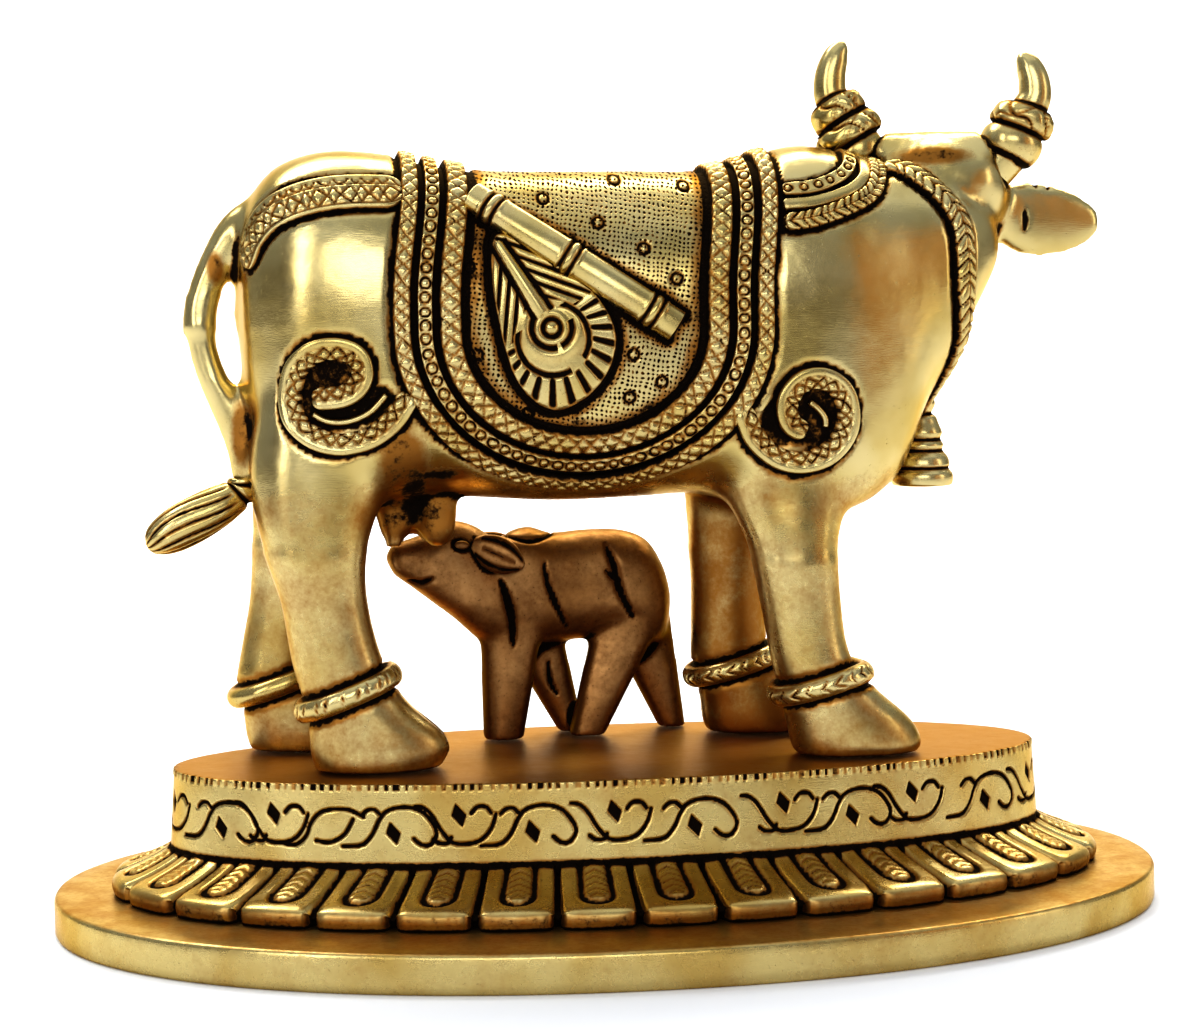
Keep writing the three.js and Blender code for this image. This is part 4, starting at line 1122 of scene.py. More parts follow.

# %% [markdown]
# ## Let the body take up its ornaments
#
# Where a band meets the body the chaser undercuts it, and black patina stays in that line for good.
# So the skin sinks a little beside each band, and its stain grows with nearness to a band and in
# every hollow. The darkening beside each band is partly that patina and partly painted shade where
# the band stands over the skin. The body also gets its own cuts here: toes, combed lines on the
# nape, and the face.

# %% Nearness of the ornaments
def hollowness(mesh, rounds=3):
    """How far each corner lies below the average of its neighbours, in mm."""
    points, normals = corners(mesh), corner_normals(mesh)
    pairs = np.empty(len(mesh.edges) * 2, int)
    mesh.edges.foreach_get("vertices", pairs)
    a, b = pairs.reshape(-1, 2).T
    degree = np.bincount(np.concatenate([a, b]), minlength=len(points))[:, None]

    def spread(values):
        total = np.zeros_like(values)
        for k in range(values.shape[1]):
            total[:, k] = np.bincount(a, values[b, k], len(points))
            total[:, k] += np.bincount(b, values[a, k], len(points))
        return total / degree

    smooth = points
    for _ in range(rounds * 4):
        smooth = (smooth + spread(smooth)) / 2
    depth = ((smooth - points) * normals).sum(1)[:, None]
    for _ in range(rounds):
        depth = (depth + spread(depth)) / 2
    return depth[:, 0]


skin_points, skin_normals = corners(body_mesh), corner_normals(body_mesh)
touching = [mesh for name, mesh in bands.items() if name not in ("cloth_ground", "tail_tuft", "bell")]
# Nearness to the ornaments: the skin sinks there, and it drives both the patina of the undercut and a painted
# shade beside each band.
near_bands = nearness(skin_points, touching, 1.8)
level = cloth_level(skin_points[:, 0], skin_points[:, 2])
under_cloth = (1 - soft_step(1.6, 1.66, level)) * (skin_points[:, 2] > 67)
sink = 0.5 * soft_step(0.45, 0.85, near_bands)
sink = np.maximum(sink, 0.55 * under_cloth)

# %% Dark hollows inside the spirals, and old crust that no polish reaches
# middle x and z, half length, half height
SPIRAL_HOLLOWS = [
    (-44.4, 84.4, 5.0, 6.0), (-37.0, 82.6, 3.2, 3.2), (31.2, 79.4, 4.6, 5.2), (25.4, 78.4, 3.2, 3.8),
]
CRUSTS = [
    (-33.0, 73.0, 3.4, 5.5), (-31.5, 65.5, 7.0, 5.5), (-57.6, 78.0, 1.5, 5.5), (-61.0, 104.0, 1.3, 2.4),
    (54.0, 120.4, 5.5, 1.3),
]
# Two darker ovals on the udder, one upright and one low and flat.
UDDER_DARK_OVALS = [(-31.2, 67.5, 2.2, 6.4), (-27.0, 71.4, 3.4, 0.9)]
EAR_MARKS = [(70.8, 110.0, 0.5, 1.8), (73.0, 117.0, 0.8, 1.6), (75.2, 116.6, 0.5, 1.6)]


def spots(points, ovals, fade):
    """1 inside any of the ovals seen from the side, fading to 0 over the share fade beyond them."""
    inside = np.zeros(len(points))
    for x, z, half_length, half_height in ovals:
        r = np.hypot((points[:, 0] - x) / half_length, (points[:, 2] - z) / half_height)
        inside = np.maximum(inside, 1 - soft_step(1 - fade, 1 + fade, r))
    return inside


on_flank = soft_step(9, 13, np.abs(skin_points[:, 1] - COW_Y))
spiral_floor = spots(skin_points, SPIRAL_HOLLOWS, 0.1) * on_flank
crust = spots(skin_points, CRUSTS, 0.8)
udder_darkening = spots(skin_points, UDDER_DARK_OVALS, 0.8)
ear_marks = spots(skin_points, EAR_MARKS, 0.25) * (skin_points[:, 1] < 16)
sink = np.maximum(sink, 0.75 * spiral_floor) + 0.35 * ear_marks
print("dark floor of the spirals:", int((spiral_floor > 0.5).sum()), "corners")

# %% Toes, nape and face cut into the body
def toe_cuts(points):
    """A cleft up the front of each hoof."""
    x, y, z = points.T
    depth = np.zeros(len(points))
    for table in (NEAR_HIND, FAR_HIND, NEAR_FORE, FAR_FORE):
        _, rear, front, middle, half = rows_at(table, np.clip(z, HOOF_LEVEL, 44)).T
        here = (x > rear - 1) & (x < front + 1.5) & (np.abs(y - middle) < half + 1.5) & (z < 44)
        toe = soft_step(0.72, 0.95, (x - rear) / (front - rear))
        depth += np.where(here, 0.8 * bump(y - middle, 0.7) * toe * (1 - soft_step(32, 36, z)), 0)
    return depth


def nape_cuts(points):
    """Fine slanting lines of hair on the nape, behind the horns."""
    x, y, z = points.T
    zone = soft_step(46, 49, x) * (1 - soft_step(55, 60, x)) * soft_step(112, 115, z) * (y < 8)
    comb = np.abs(((x * 0.85 - z * 0.5) / 1.5) % 1 - 0.5) * 2
    return 0.14 * soft_step(0.6, 0.95, comb) * zone


def face_cuts(points):
    """The mouth, the nostrils and a crease round each eye."""
    local = (points - HEAD_START) @ np.column_stack([head_forward, head_right, head_up])
    forward, right, up = local.T
    mouth = bump(up + 2.6 + 0.05 * (39 - forward), 0.7) * soft_step(30, 33, forward)
    cheeks = bump(forward - 29.5 - 0.4 * up, 0.9) * (np.abs(right) > 3) * (np.abs(up) < 4)
    eyes, nostrils = np.zeros(len(points)), np.zeros(len(points))
    for side in (-1, 1):
        eye = np.column_stack([(forward - 10.5) / 3.6, (right - side * 10.6) / 4.0, (up - 1.4) / 2.4])
        eyes += bump(np.linalg.norm(eye, axis=1) - 1.0, 0.24)
        hole = np.column_stack([(forward - 36.4) / 1.6, (right - side * 3.6) / 1.5, (up - 1.2) / 1.3])
        nostrils += bump(np.linalg.norm(hole, axis=1), 1.0)
    cuts = 0.7 * mouth + 0.35 * cheeks + 0.55 * eyes + 1.1 * nostrils
    return np.where((forward > 2) & (points[:, 1] > 8), cuts, 0)


cuts = toe_cuts(skin_points) + nape_cuts(skin_points) + face_cuts(skin_points)
set_corners(body_mesh, skin_points - skin_normals * (sink + cuts)[:, None])
hollow = hollowness(body_mesh)
# Black patina in hollows, cuts and undercuts, plus painted shade: the dark line and the softer band beside
# every ornament.
body_patina_and_shade = np.maximum.reduce([
    soft_step(0.45, 0.82, near_bands), 0.3 * soft_step(0.1, 0.45, near_bands), soft_step(0.03, 0.2, hollow),
    soft_step(0.15, 0.6, cuts), 0.62 * spiral_floor, 0.4 * crust, 0.7 * udder_darkening, ear_marks,
])
in_grooves = soft_step(GROUND_END - 0.02, GROUND_END + 0.02, level) * (1 - soft_step(1.6, 1.63, level))
body_patina_and_shade = np.maximum(body_patina_and_shade, in_grooves * (skin_points[:, 2] > 67))
set_stain(body_mesh, body_patina_and_shade)

# %% Eyes of the cow
def ball_mesh(name, centre, size, stain=0.0, segments=32):
    bm = bmesh.new()
    bmesh.ops.create_uvsphere(bm, u_segments=segments, v_segments=segments // 2, radius=MM)
    bmesh.ops.scale(bm, verts=bm.verts, vec=size)
    bmesh.ops.translate(bm, verts=bm.verts, vec=Vector(centre) * MM)
    mesh = bpy.data.meshes.new(name)
    bm.to_mesh(mesh)
    bm.free()
    set_stain(mesh, np.full(len(mesh.vertices), stain))
    return mesh


for side, word in ((-1, "left"), (1, "right")):
    bands[f"eye_{word}"] = ball_mesh(f"eye_{word}", on_head(10.5, side * 10.3, 1.4), (2.1, 2.1, 1.5))
bands["forehead_drop"] = ball_mesh("forehead_drop", on_head(9.0, 0, 7.2), (1.6, 2.2, 2.2))
print("body stained:", round(float(body_patina_and_shade.mean()), 3))

# %% [markdown]
# ## The calf
#
# The calf reaches up to the udder. It is made as the cow was: a lofted body, four legs set in two
# strides that cross at the feet, and everything melted together. A few broad cuts mark its neck,
# shoulder and flank, and its mouth; the ear and the eye are laid on.

# %% Sections of the calf: x, top, bottom, half width, middle y
CALF_BODY = [
    (-34.9, 57.0, 56.2, 0.6, 11.6), (-34.6, 57.6, 55.6, 1.4, 11.6), (-33.8, 58.7, 54.0, 2.9, 11.7),
    (-31.0, 59.6, 51.8, 3.8, 12.0), (-27.0, 60.9, 48.6, 4.6, 12.8), (-23.4, 62.2, 45.6, 5.2, 13.8),
    (-20.0, 61.2, 42.4, 5.7, 15.0), (-16.4, 59.0, 40.4, 6.0, 16.4), (-13.4, 60.2, 40.0, 6.2, 17.2),
    (-10.6, 60.6, 40.4, 6.3, 17.7), (-7.2, 59.5, 41.0, 6.4, 18.2), (-1.0, 59.8, 41.4, 6.4, 18.8),
    (5.0, 59.5, 41.4, 6.4, 19.3), (9.4, 57.6, 40.0, 6.1, 19.6), (11.9, 53.6, 41.0, 4.8, 19.8),
    (13.0, 50.0, 44.6, 2.6, 19.9), (13.3, 48.4, 46.4, 0.8, 19.9),
]
# rear x, front x and middle y at the top, then at the foot
CALF_LEGS = [
    (-19.5, -8.6, 14.8, -19.3, -12.6, 14.4), (-18.0, -5.8, 19.6, -6.1, -1.8, 20.8),
    (0.1, 12.4, 17.0, -4.8, 1.2, 15.6), (0.8, 13.3, 20.8, 11.2, 15.8, 21.8),
]
CALF_LEG_TOP, CALF_LEG_HALF = 46.0, 2.9
CALF_VOXEL = 0.45


def calf_body_mesh(rings=90):
    x, top, bottom, half, y = rows_at(CALF_BODY, np.linspace(CALF_BODY[0][0], CALF_BODY[-1][0], rings)).T
    centres = np.column_stack([x, y, (top + bottom) / 2])
    zero = np.zeros(rings)
    upward = np.column_stack([zero, zero, (top - bottom) / 2])
    return ringed("calf_body", centres, np.column_stack([zero, half, zero]), upward, power=2.2, sides=48)


def calf_leg_mesh(leg, rings=30):
    rear_top, front_top, y_top, rear_foot, front_foot, y_foot = leg
    t = np.linspace(0, 1, rings)
    rear = rear_top + (rear_foot - rear_top) * t
    front = front_top + (front_foot - front_top) * t
    z = CALF_LEG_TOP + (HOOF_LEVEL - CALF_LEG_TOP) * t
    centres = np.column_stack([(rear + front) / 2, y_top + (y_foot - y_top) * t, z])
    zero = np.zeros(rings)
    across = np.column_stack([(front - rear) / 2, zero, zero])
    return ringed("calf_leg", centres, across, np.column_stack([zero, CALF_LEG_HALF + zero, zero]), power=2.4)


calf_mesh = melted("calf_body", [calf_body_mesh(), *[calf_leg_mesh(leg) for leg in CALF_LEGS]], CALF_VOXEL)
rubbed(calf_mesh, 4)
rubbed(calf_mesh, 14, lambda p: (p[:, 2] > 37) & (p[:, 2] < 48))
# half width of the cut, then its line as x, z places
CALF_CUTS = [
    (0.8, [(-16.2, 52.6), (-15.2, 49.4), (-14.4, 45.8), (-14.2, 41.4)]),
    (0.42, [(-8.9, 55.2), (-8.2, 51.1), (-6.8, 47.5), (-4.9, 43.4)]),
    (0.7, [(1.7, 57.6), (2.9, 54.3), (4.0, 49.6), (6.0, 45.4)]),
    (0.4, [(1.6, 53.4), (2.6, 52.2), (3.4, 51.4)]),
    (0.35, [(-7.9, 37.6), (-7.6, 34.2), (-6.4, 32.0)]),
    (0.45, [(-31.4, 53.0), (-29.4, 52.5), (-27.4, 53.3)]),
    (0.35, [(-14.8, 59.4), (-10.7, 58.5), (-6.8, 59.4)]),
]


def chiselled(points, line, width, count=40):
    """A stroke that is widest in its middle and runs out to a point at both ends."""
    path = curve_through(line, count)
    widths = width * np.sin(np.pi * np.linspace(0.05, 0.95, count)) ** 0.7
    away = np.linalg.norm(points[:, None] - path[None], axis=2) / widths
    return np.exp(-(away.min(axis=1) ** 2))


def line_distance(points, line):
    """Distance of each point from a polyline, in the line's own plane."""
    best = np.full(len(points), 1e9)
    for a, b in zip(line[:-1], line[1:]):
        way = b - a
        t = np.clip(((points - a) @ way) / (way @ way), 0, 1)
        best = np.minimum(best, np.linalg.norm(points - a - t[:, None] * way, axis=1))
    return best


calf_points, calf_normals = corners(calf_mesh), corner_normals(calf_mesh)
calf_cut = np.zeros(len(calf_points))
for half_width, line in CALF_CUTS:
    calf_cut = np.maximum(calf_cut, chiselled(calf_points[:, [0, 2]], line, half_width))
set_corners(calf_mesh, calf_points - calf_normals * (0.6 * calf_cut)[:, None])
calf_stain = np.maximum(calf_cut, soft_step(0.01, 0.1, hollowness(calf_mesh)))
set_stain(calf_mesh, calf_stain)
calf_tree = tree_of(calf_mesh)

# %% The calf's ears and eyes
CALF_EAR = [
    (-1.0, 1.2, 0.9), (0.5, 2.3, 1.2), (3.0, 3.0, 1.3), (5.6, 2.6, 1.1), (7.4, 1.4, 0.8), (8.2, 0.5, 0.4),
]


def calf_ear_mesh(name, side, rings=50, sides=48):
    distance, high, thin = rows_at(CALF_EAR, np.linspace(CALF_EAR[0][0], CALF_EAR[-1][0], rings)).T
    root = on_skin(np.array([[-18.9, 15.4 + side * 6.0, 59.0]]), calf_tree)[0][0]
    outward = unit(np.array([0.88, side * 0.2, -0.42]))
    thick = unit(np.cross(outward, [0.4, 0.0, 0.9]))
    upward = unit(np.cross(thick, outward))
    centres = root + outward * distance[:, None] + [0, side * 0.3, 0]

    def relief(ring, angle):
        t = ring / (rings - 1)
        rim = bump(np.abs(np.cos(angle)) - 0.72, 0.14) * (t > 0.12) * (t < 0.95)
        vein = bump(np.cos(angle), 0.12) * (t > 0.2) * (t < 0.85)
        return -0.22 * rim - 0.12 * vein, np.maximum(rim * 0.8, vein * 0.5)

    return ringed(name, centres, upward * high[:, None], thick * thin[:, None], sides=sides, relief=relief)


calf_details = {
    "calf_ear_near": calf_ear_mesh("calf_ear_near", -1),
    "calf_ear_far": calf_ear_mesh("calf_ear_far", 1),
}
for side, word in ((-1, "near"), (1, "far")):
    eye = on_skin(np.array([[-22.0, 13.9 + side * 6.0, 59.2]]), calf_tree)[0][0]
    calf_details[f"calf_eye_{word}"] = ball_mesh(f"calf_eye_{word}", eye, (1.3, 0.6, 0.75), 0.15)
# Where the ears and eyes meet the head the stain grows: a dark joint with patina, and painted shade.
near_details = nearness(corners(calf_mesh), list(calf_details.values()), 1.1)
set_stain(calf_mesh, np.maximum(calf_stain, soft_step(0.3, 0.65, near_details)))
print("calf:", len(calf_mesh.polygons), "faces")

# %% [markdown]
# ## The base
#
# The base is an oval plate, a ring of lotus petals and a drum on top, cast in one. All three follow
# one flattened oval, so one helper gives its outline at any size. The carving knows how far round
# the oval a point is: petals, notches and the engraved vine all repeat along that run.

# %% The oval and its run
OVAL_POWER = 2.1
PLATE = (89.0, 55.5)
DRUM = (69.8, 26.8)
PETAL_OVAL = (79.7, 42.0)
PLATE_HEIGHT, PLATE_EDGE = 6.0, 0.7
RIM_HEIGHT, RIM_PROUD = 1.0, 0.1


def oval_points(half_length, half_width, count):
    """Points evenly spaced along the oval, starting at the far left, going round the near side."""
    turn = np.linspace(0, 2 * np.pi, count * 8 + 1)
    x = -half_length * signed_power(np.cos(turn), 2 / OVAL_POWER)
    y = -half_width * signed_power(np.sin(turn), 2 / OVAL_POWER)
    line = np.column_stack([x, y])
    run = np.concatenate([[0], np.cumsum(np.linalg.norm(np.diff(line, axis=0), axis=1))])
    wanted = np.linspace(0, run[-1], count + 1)
    return np.column_stack([np.interp(wanted, run, line[:, k]) for k in (0, 1)]), run[-1]


def oval_outward(points, half_length, half_width):
    return unit(points / [half_length**2, half_width**2])


def oval_skin(name, oval, profile, rounds, relief=None, curve=True):
    """A closed form of oval section; profile rows are outset and height, from the foot up."""
    edge, around = oval_points(*oval, rounds)
    outward = oval_outward(edge, *oval)
    rows = len(profile)

    def place(u, v):
        k = np.rint(u * rounds).astype(int) % rounds
        row = np.clip(np.rint(v * (rows + 1)).astype(int) - 1, 0, rows - 1)
        pole = (v < 0.5 / (rows + 1)) | (v > 1 - 0.5 / (rows + 1))
        outset, z = profile[row].T
        stain = np.zeros(len(u))
        if relief:
            depth, stain = relief(k / rounds * around, z, edge[k])
            outset = outset + depth
        flat = edge[k] + outward[k] * outset[:, None]
        flat[pole] = 0
        return np.column_stack([flat, z]), stain

    return bent_grid(name, rounds, rows + 1, place)


# %% Plate
plate_profile = np.array([
    (-PLATE_EDGE, 0.0), (-0.25, 0.18), (0.0, PLATE_EDGE), (0.0, 2.0), (0.0, 4.0),
    (0.0, PLATE_HEIGHT - PLATE_EDGE), (-0.1, PLATE_HEIGHT - 0.4), (-0.3, PLATE_HEIGHT - 0.12),
    (-PLATE_EDGE, PLATE_HEIGHT), (-4.0, PLATE_HEIGHT), (-8.0, PLATE_HEIGHT),
])
base_meshes = {"plate": oval_skin("plate", PLATE, plate_profile, 360)}

# %% Petals
PETALS = 32
PETAL_DEPTH = 12.2
# height and outset of the petals' face, from the foot of the front up to the drum
PETAL_RISE = np.array([
    (6.0, 0.0), (6.6, 0.25), (7.4, 0.45), (8.2, 0.35), (8.9, -0.15), (9.35, -1.0), (9.75, -2.4),
    (10.4, -4.6), (11.3, -7.2), (12.2, -9.4), (13.0, -11.0), (13.2, -PETAL_DEPTH),
])
TONGUE_HALF, TONGUE_END = 0.37, 0.38
TONGUE_LINE, CHEVRON_PITCH = 0.5, 1.25


def petal_mesh(rounds=1152, rows=56):
    edge, around = oval_points(*PETAL_OVAL, rounds)
    inner = edge * np.array(DRUM) / PETAL_OVAL
    outward = oval_outward(edge, *PETAL_OVAL)
    z, inset = curve_through(PETAL_RISE, rows).T
    share = -inset / PETAL_DEPTH
    p = (np.arange(rounds) / rounds * PETALS + 0.08) % 1 * 2 - 1
    half_pitch = around / PETALS / 2

    def place(u, v):
        k = np.rint(u * rounds).astype(int) % rounds
        row = np.clip(np.rint(v * (rows + 1)).astype(int) - 1, 0, rows - 1)
        pole = (v < 0.5 / (rows + 1)) | (v > 1 - 0.5 / (rows + 1))
        across, here = p[k], share[row]
        side = (1 - np.abs(across)) * half_pitch
        half = 0.8 - 0.25 * np.clip(here, 0, 1)
        groove = 1 - soft_step(0.4 * half, 1.1 * half, side)
        corner = 1 - np.sqrt(1 - (1 - np.clip((side - half) / 1.7, 0, 1)) ** 2)
        crown = -0.35 * across**2 - 0.75 * corner * (1 - soft_step(0.02, 0.2, here))
        tongue_half = TONGUE_HALF - 0.03 * here
        end = here - TONGUE_END
        tongue = np.where(end > 0, np.abs(across) / tongue_half,
                          np.hypot(across / tongue_half, end * PETAL_DEPTH / (tongue_half * half_pitch)))
        shown = (here < 0.95) & (here > 0.03)
        outline = bump((tongue - 1.12) * tongue_half * half_pitch, TONGUE_LINE) * shown
        inside = (tongue < 0.98) & shown
        weave = ((here * PETAL_DEPTH * 0.9 + np.abs(across) * 3.2) / CHEVRON_PITCH) % 1
        herring = bump(np.minimum(weave, 1 - weave), 0.15) * inside
        height = -1.8 * groove + crown - 0.8 * outline - 0.2 * herring + 0.12 * inside
        outset = np.clip(here, 0, None)[:, None]
        flat = edge[k] * (1 - outset) + inner[k] * outset
        upright = np.clip((9.6 - z[row]) / 1.4, 0, 1)
        flat = flat + outward[k] * (height * upright - 0.1 + np.maximum(-here, 0) * PETAL_DEPTH)[:, None]
        flat[pole] = 0
        up = z[row] + height * (1 - upright) * 0.95
        up = np.where(pole & (v < 0.5), 5.4, up)
        stain = np.maximum.reduce([
            soft_step(0.25, 0.6, groove), outline, 0.45 * herring, soft_step(12.5, 13.0, z[row]),
            0.85 * (1 - soft_step(6.1, 6.9, z[row])), 0.3 * (1 - soft_step(7.8, 9.2, z[row])),
        ])
        return np.column_stack([flat, up]), stain

    return bent_grid("petal_ring", rounds, rows + 1, place)


base_meshes["petal_ring"] = petal_mesh()
print("petals:", len(base_meshes["petal_ring"].polygons), "faces")

# %% The vine engraved on the drum: run and height of each stroke, measured from its lower diamond
VINE_REPEATS = 13
# x of the lower diamonds on the near face, set out one by one; the others follow evenly
VINE_MIDDLES = [-62.1, -36.2, -15.3, 9.5, 34.6]
# run from each lower diamond to its upper one, and where the repeats are even
VINE_STEPS = [9.2, 10.0, 12.5, 14.0, 10.5]
EVEN_STEP = 12.1
# measured from the lower diamond
LOWER_STROKES = [
    [(-7.8, 15.9), (-4.8, 16.15), (-3.2, 17.8), (-2.3, 19.7), (-1.0, 21.3), (1.75, 21.9), (4.2, 21.3),
     (5.8, 19.7), (6.6, 17.8), (5.6, 16.15), (4.2, 16.15), (3.1, 17.1)],
    [(-4.8, 20.7), (-4.0, 21.4), (-2.9, 21.5), (-2.0, 20.7)],
]
# measured from the upper diamond
UPPER_STROKES = [
    [(-6.6, 22.0), (-5.4, 21.8), (-4.1, 20.6), (-2.7, 18.3), (-1.1, 16.5), (0.9, 16.2), (3.3, 16.8),
     (4.9, 18.6), (5.6, 20.7)],
    [(-3.9, 17.0), (-3.0, 16.4), (-1.7, 16.4), (-1.2, 17.2)],
    [(1.9, 20.9), (2.8, 21.8), (4.1, 21.8), (4.9, 20.9)],
]
# two more strokes fill the wide gap after the first repeat
WIDE_GAP_STROKES = [
    [(10.4, 16.2), (12.8, 16.0), (14.5, 17.4), (15.3, 19.5), (17.2, 21.2), (21.0, 21.5), (23.5, 20.4)],
    [(16.1, 16.7), (18.3, 16.5), (20.5, 17.7), (21.9, 20.0)],
]
LOWER_DIAMOND, UPPER_DIAMOND = 17.9, 20.6
DIAMOND_SLANT = 0.3
VINE_WIDTH, VINE_DEPTH = 0.25, 0.42
NOTCH_PITCH, NOTCH_DEPTH = 1.45, 0.45


def vine_middles(around, count=2000):
    """Runs of the lower diamonds along the drum."""
    near = oval_points(*DRUM, count)[0][:count // 2 + 1]
    runs = np.interp(VINE_MIDDLES, near[:, 0], np.arange(len(near)) / count * around)
    left = VINE_REPEATS - len(runs) + 1
    rest = around - (runs[-1] - runs[0])
    return [*runs, *[runs[-1] + rest * k / left for k in range(1, left)]]


def drum_relief(around):
    """Depth and stain of vine and notches at a run along the drum and a height."""
    notches = round(around / NOTCH_PITCH)
    middles = vine_middles(around)

    def relief(run, z, edge):
        vine, diamond = np.full(len(run), 9.0), np.full(len(run), 9.0)
        for count, middle in enumerate(middles):
            local = (run - middle + around / 2) % around - around / 2
            close = (local > -10) & (local < 26)
            spot = np.column_stack([local[close], z[close]])
            step = VINE_STEPS[count] if count < len(VINE_STEPS) else EVEN_STEP
            strokes = [curve_through(stroke, 26) for stroke in LOWER_STROKES]
            strokes += [curve_through(stroke, 26) + [step, 0] for stroke in UPPER_STROKES]
            if count == 0:
                strokes += [curve_through(stroke, 26) for stroke in WIDE_GAP_STROKES]
            for stroke in strokes:
                vine[close] = np.minimum(vine[close], line_distance(spot, stroke))
            for x, height in ((0, LOWER_DIAMOND), (step, UPPER_DIAMOND)):
                slanted = local - x + DIAMOND_SLANT * (z - height)
                diamond = np.minimum(diamond, np.abs(slanted) / 1.15 + np.abs(z - height) / 1.8)
        cut = 1 - soft_step(VINE_WIDTH * 0.6, VINE_WIDTH * 1.6, vine)
        cut = np.maximum(cut, 1 - soft_step(0.8, 1.1, diamond))
        turn = run / around * 2 * np.pi
        uneven = run / around * notches + 0.12 * np.sin(47 * turn) + 0.09 * np.sin(118 * turn + 1)
        notch = 1 - soft_step(0.16, 0.3, np.abs(uneven % 1 - 0.5))
        rim = soft_step(DRUM_TOP - RIM_HEIGHT - 0.08, DRUM_TOP - RIM_HEIGHT + 0.08, z)
        notch = notch * rim * (z < DRUM_TOP - 0.02) * (0.66 + 0.34 * np.sin(29 * turn + 2))
        depth = -VINE_DEPTH * cut + RIM_PROUD * rim - NOTCH_DEPTH * notch
        stain = np.maximum.reduce([cut, 0.8 * notch, 0.9 * (1 - soft_step(13.0, 13.9, z))])
        return depth, stain

    return relief


drum_rows = np.concatenate([
    np.column_stack([np.linspace(1.0, 0.85, 3), np.linspace(11.0, 13.0, 3)]),
    np.column_stack([np.linspace(0.83, 0.0, 52), np.linspace(13.2, DRUM_TOP - 0.12, 52)]),
    [(-0.08, DRUM_TOP - 0.04), (-0.3, DRUM_TOP), (-1.2, DRUM_TOP), (-2.4, DRUM_TOP)],
])
drum_around = oval_points(*DRUM, 64)[1]
base_meshes["drum"] = oval_skin("drum", DRUM, drum_rows, 1500, drum_relief(drum_around))
print("drum:", len(base_meshes["drum"].polygons), "faces")

# %% [markdown]
# ## Old brass
#
# The statue was blackened all over and rubbed bright, so its colour tells how far a place is from
# the rubbing cloth. Open faces are a pale gold with a cool cast, the shoulders of each cut turn
# orange brown, and the cuts stay nearly black and dull. Part of the black and brown is painted
# light: painted shade beside raised parts, and painted warm reflection on the lower parts and on
# the tops of the base. Three node groups do this for every piece: one turns the stain into a ragged
# mask, one colours it, one sets gloss, metal and fine height. A fourth draws the punched dots of
# the saddle cloth.

# %% Small helpers for node trees
def new_group(name, inputs, outputs):
    tree = bpy.data.node_groups.new(name, "ShaderNodeTree")
    for title, kind, value in inputs:
        socket = tree.interface.new_socket(title, in_out="INPUT", socket_type=kind)
        if value is not None:
            socket.default_value = value
    for title, kind in outputs:
        tree.interface.new_socket(title, in_out="OUTPUT", socket_type=kind)
    return tree, tree.nodes.new("NodeGroupInput").outputs, tree.nodes.new("NodeGroupOutput").inputs


def wire(tree, source, target):
    if isinstance(source, bpy.types.NodeSocket):
        tree.links.new(source, target)
    elif source is not None:
        target.default_value = source


def calc(tree, operation, a, b=None, c=None):
    node = tree.nodes.new("ShaderNodeMath")
    node.operation = operation
    for value, socket in zip((a, b, c), node.inputs):
        wire(tree, value, socket)
    return node.outputs[0]


def noise_of(tree, vector, scale, detail=3.0, roughness=0.55):
    node = tree.nodes.new("ShaderNodeTexNoise")
    wire(tree, vector, node.inputs["Vector"])
    wire(tree, scale, node.inputs["Scale"])
    wire(tree, detail, node.inputs["Detail"])
    wire(tree, roughness, node.inputs["Roughness"])
    return node.outputs["Fac"]


def scaled(tree, vector, factors, turn=(0.0, 0.0, 0.0)):
    node = tree.nodes.new("ShaderNodeMapping")
    wire(tree, vector, node.inputs["Vector"])
    node.inputs["Scale"].default_value = factors
    node.inputs["Rotation"].default_value = turn
    return node.outputs["Vector"]


def smooth_range(tree, value, low, high, to_low=0.0, to_high=1.0):
    node = tree.nodes.new("ShaderNodeMapRange")
    node.interpolation_type = "SMOOTHSTEP"
    for given, socket in zip((value, low, high, to_low, to_high), node.inputs):
        wire(tree, given, socket)
    return node.outputs["Result"]


def blend_colours(tree, factor, a, b, kind="MIX"):
    node = tree.nodes.new("ShaderNodeMix")
    node.data_type = "RGBA"
    node.blend_type = kind
    wire(tree, factor, node.inputs["Factor"])
    wire(tree, a, node.inputs["A"])
    wire(tree, b, node.inputs["B"])
    return node.outputs["Result"]

# %% Ragged patina mask
FLOAT, COLOUR, VECTOR = "NodeSocketFloat", "NodeSocketColor", "NodeSocketVector"
tree, given, made = new_group(
    "ragged_patina",
    [("Place", VECTOR, None), ("Stain", FLOAT, 0.0), ("Tarnish", FLOAT, 0.0), ("Film", FLOAT, 0.25)],
    [("Black", FLOAT), ("Brown", FLOAT)],
)
grit = calc(tree, "SUBTRACT", noise_of(tree, given["Place"], 1.2, 6.0, 0.68), 0.5)
cloud = calc(tree, "SUBTRACT", noise_of(tree, given["Place"], 0.16, 4.0, 0.6), 0.5)
pits = smooth_range(tree, noise_of(tree, given["Place"], 2.4, 2.0, 0.5), 0.66, 0.76)
patches = calc(tree, "SUBTRACT", noise_of(tree, given["Place"], 0.33, 3.0, 0.6), 0.5)
edge = calc(tree, "MULTIPLY_ADD", grit, 0.8, calc(tree, "MULTIPLY_ADD", patches, 0.8, given["Stain"]))
black = smooth_range(tree, edge, 0.34, 0.62)
wire(tree, calc(tree, "MAXIMUM", black, calc(tree, "MULTIPLY", pits, given["Film"])), made["Black"])
film = calc(tree, "MULTIPLY_ADD", cloud, 0.8, given["Film"])
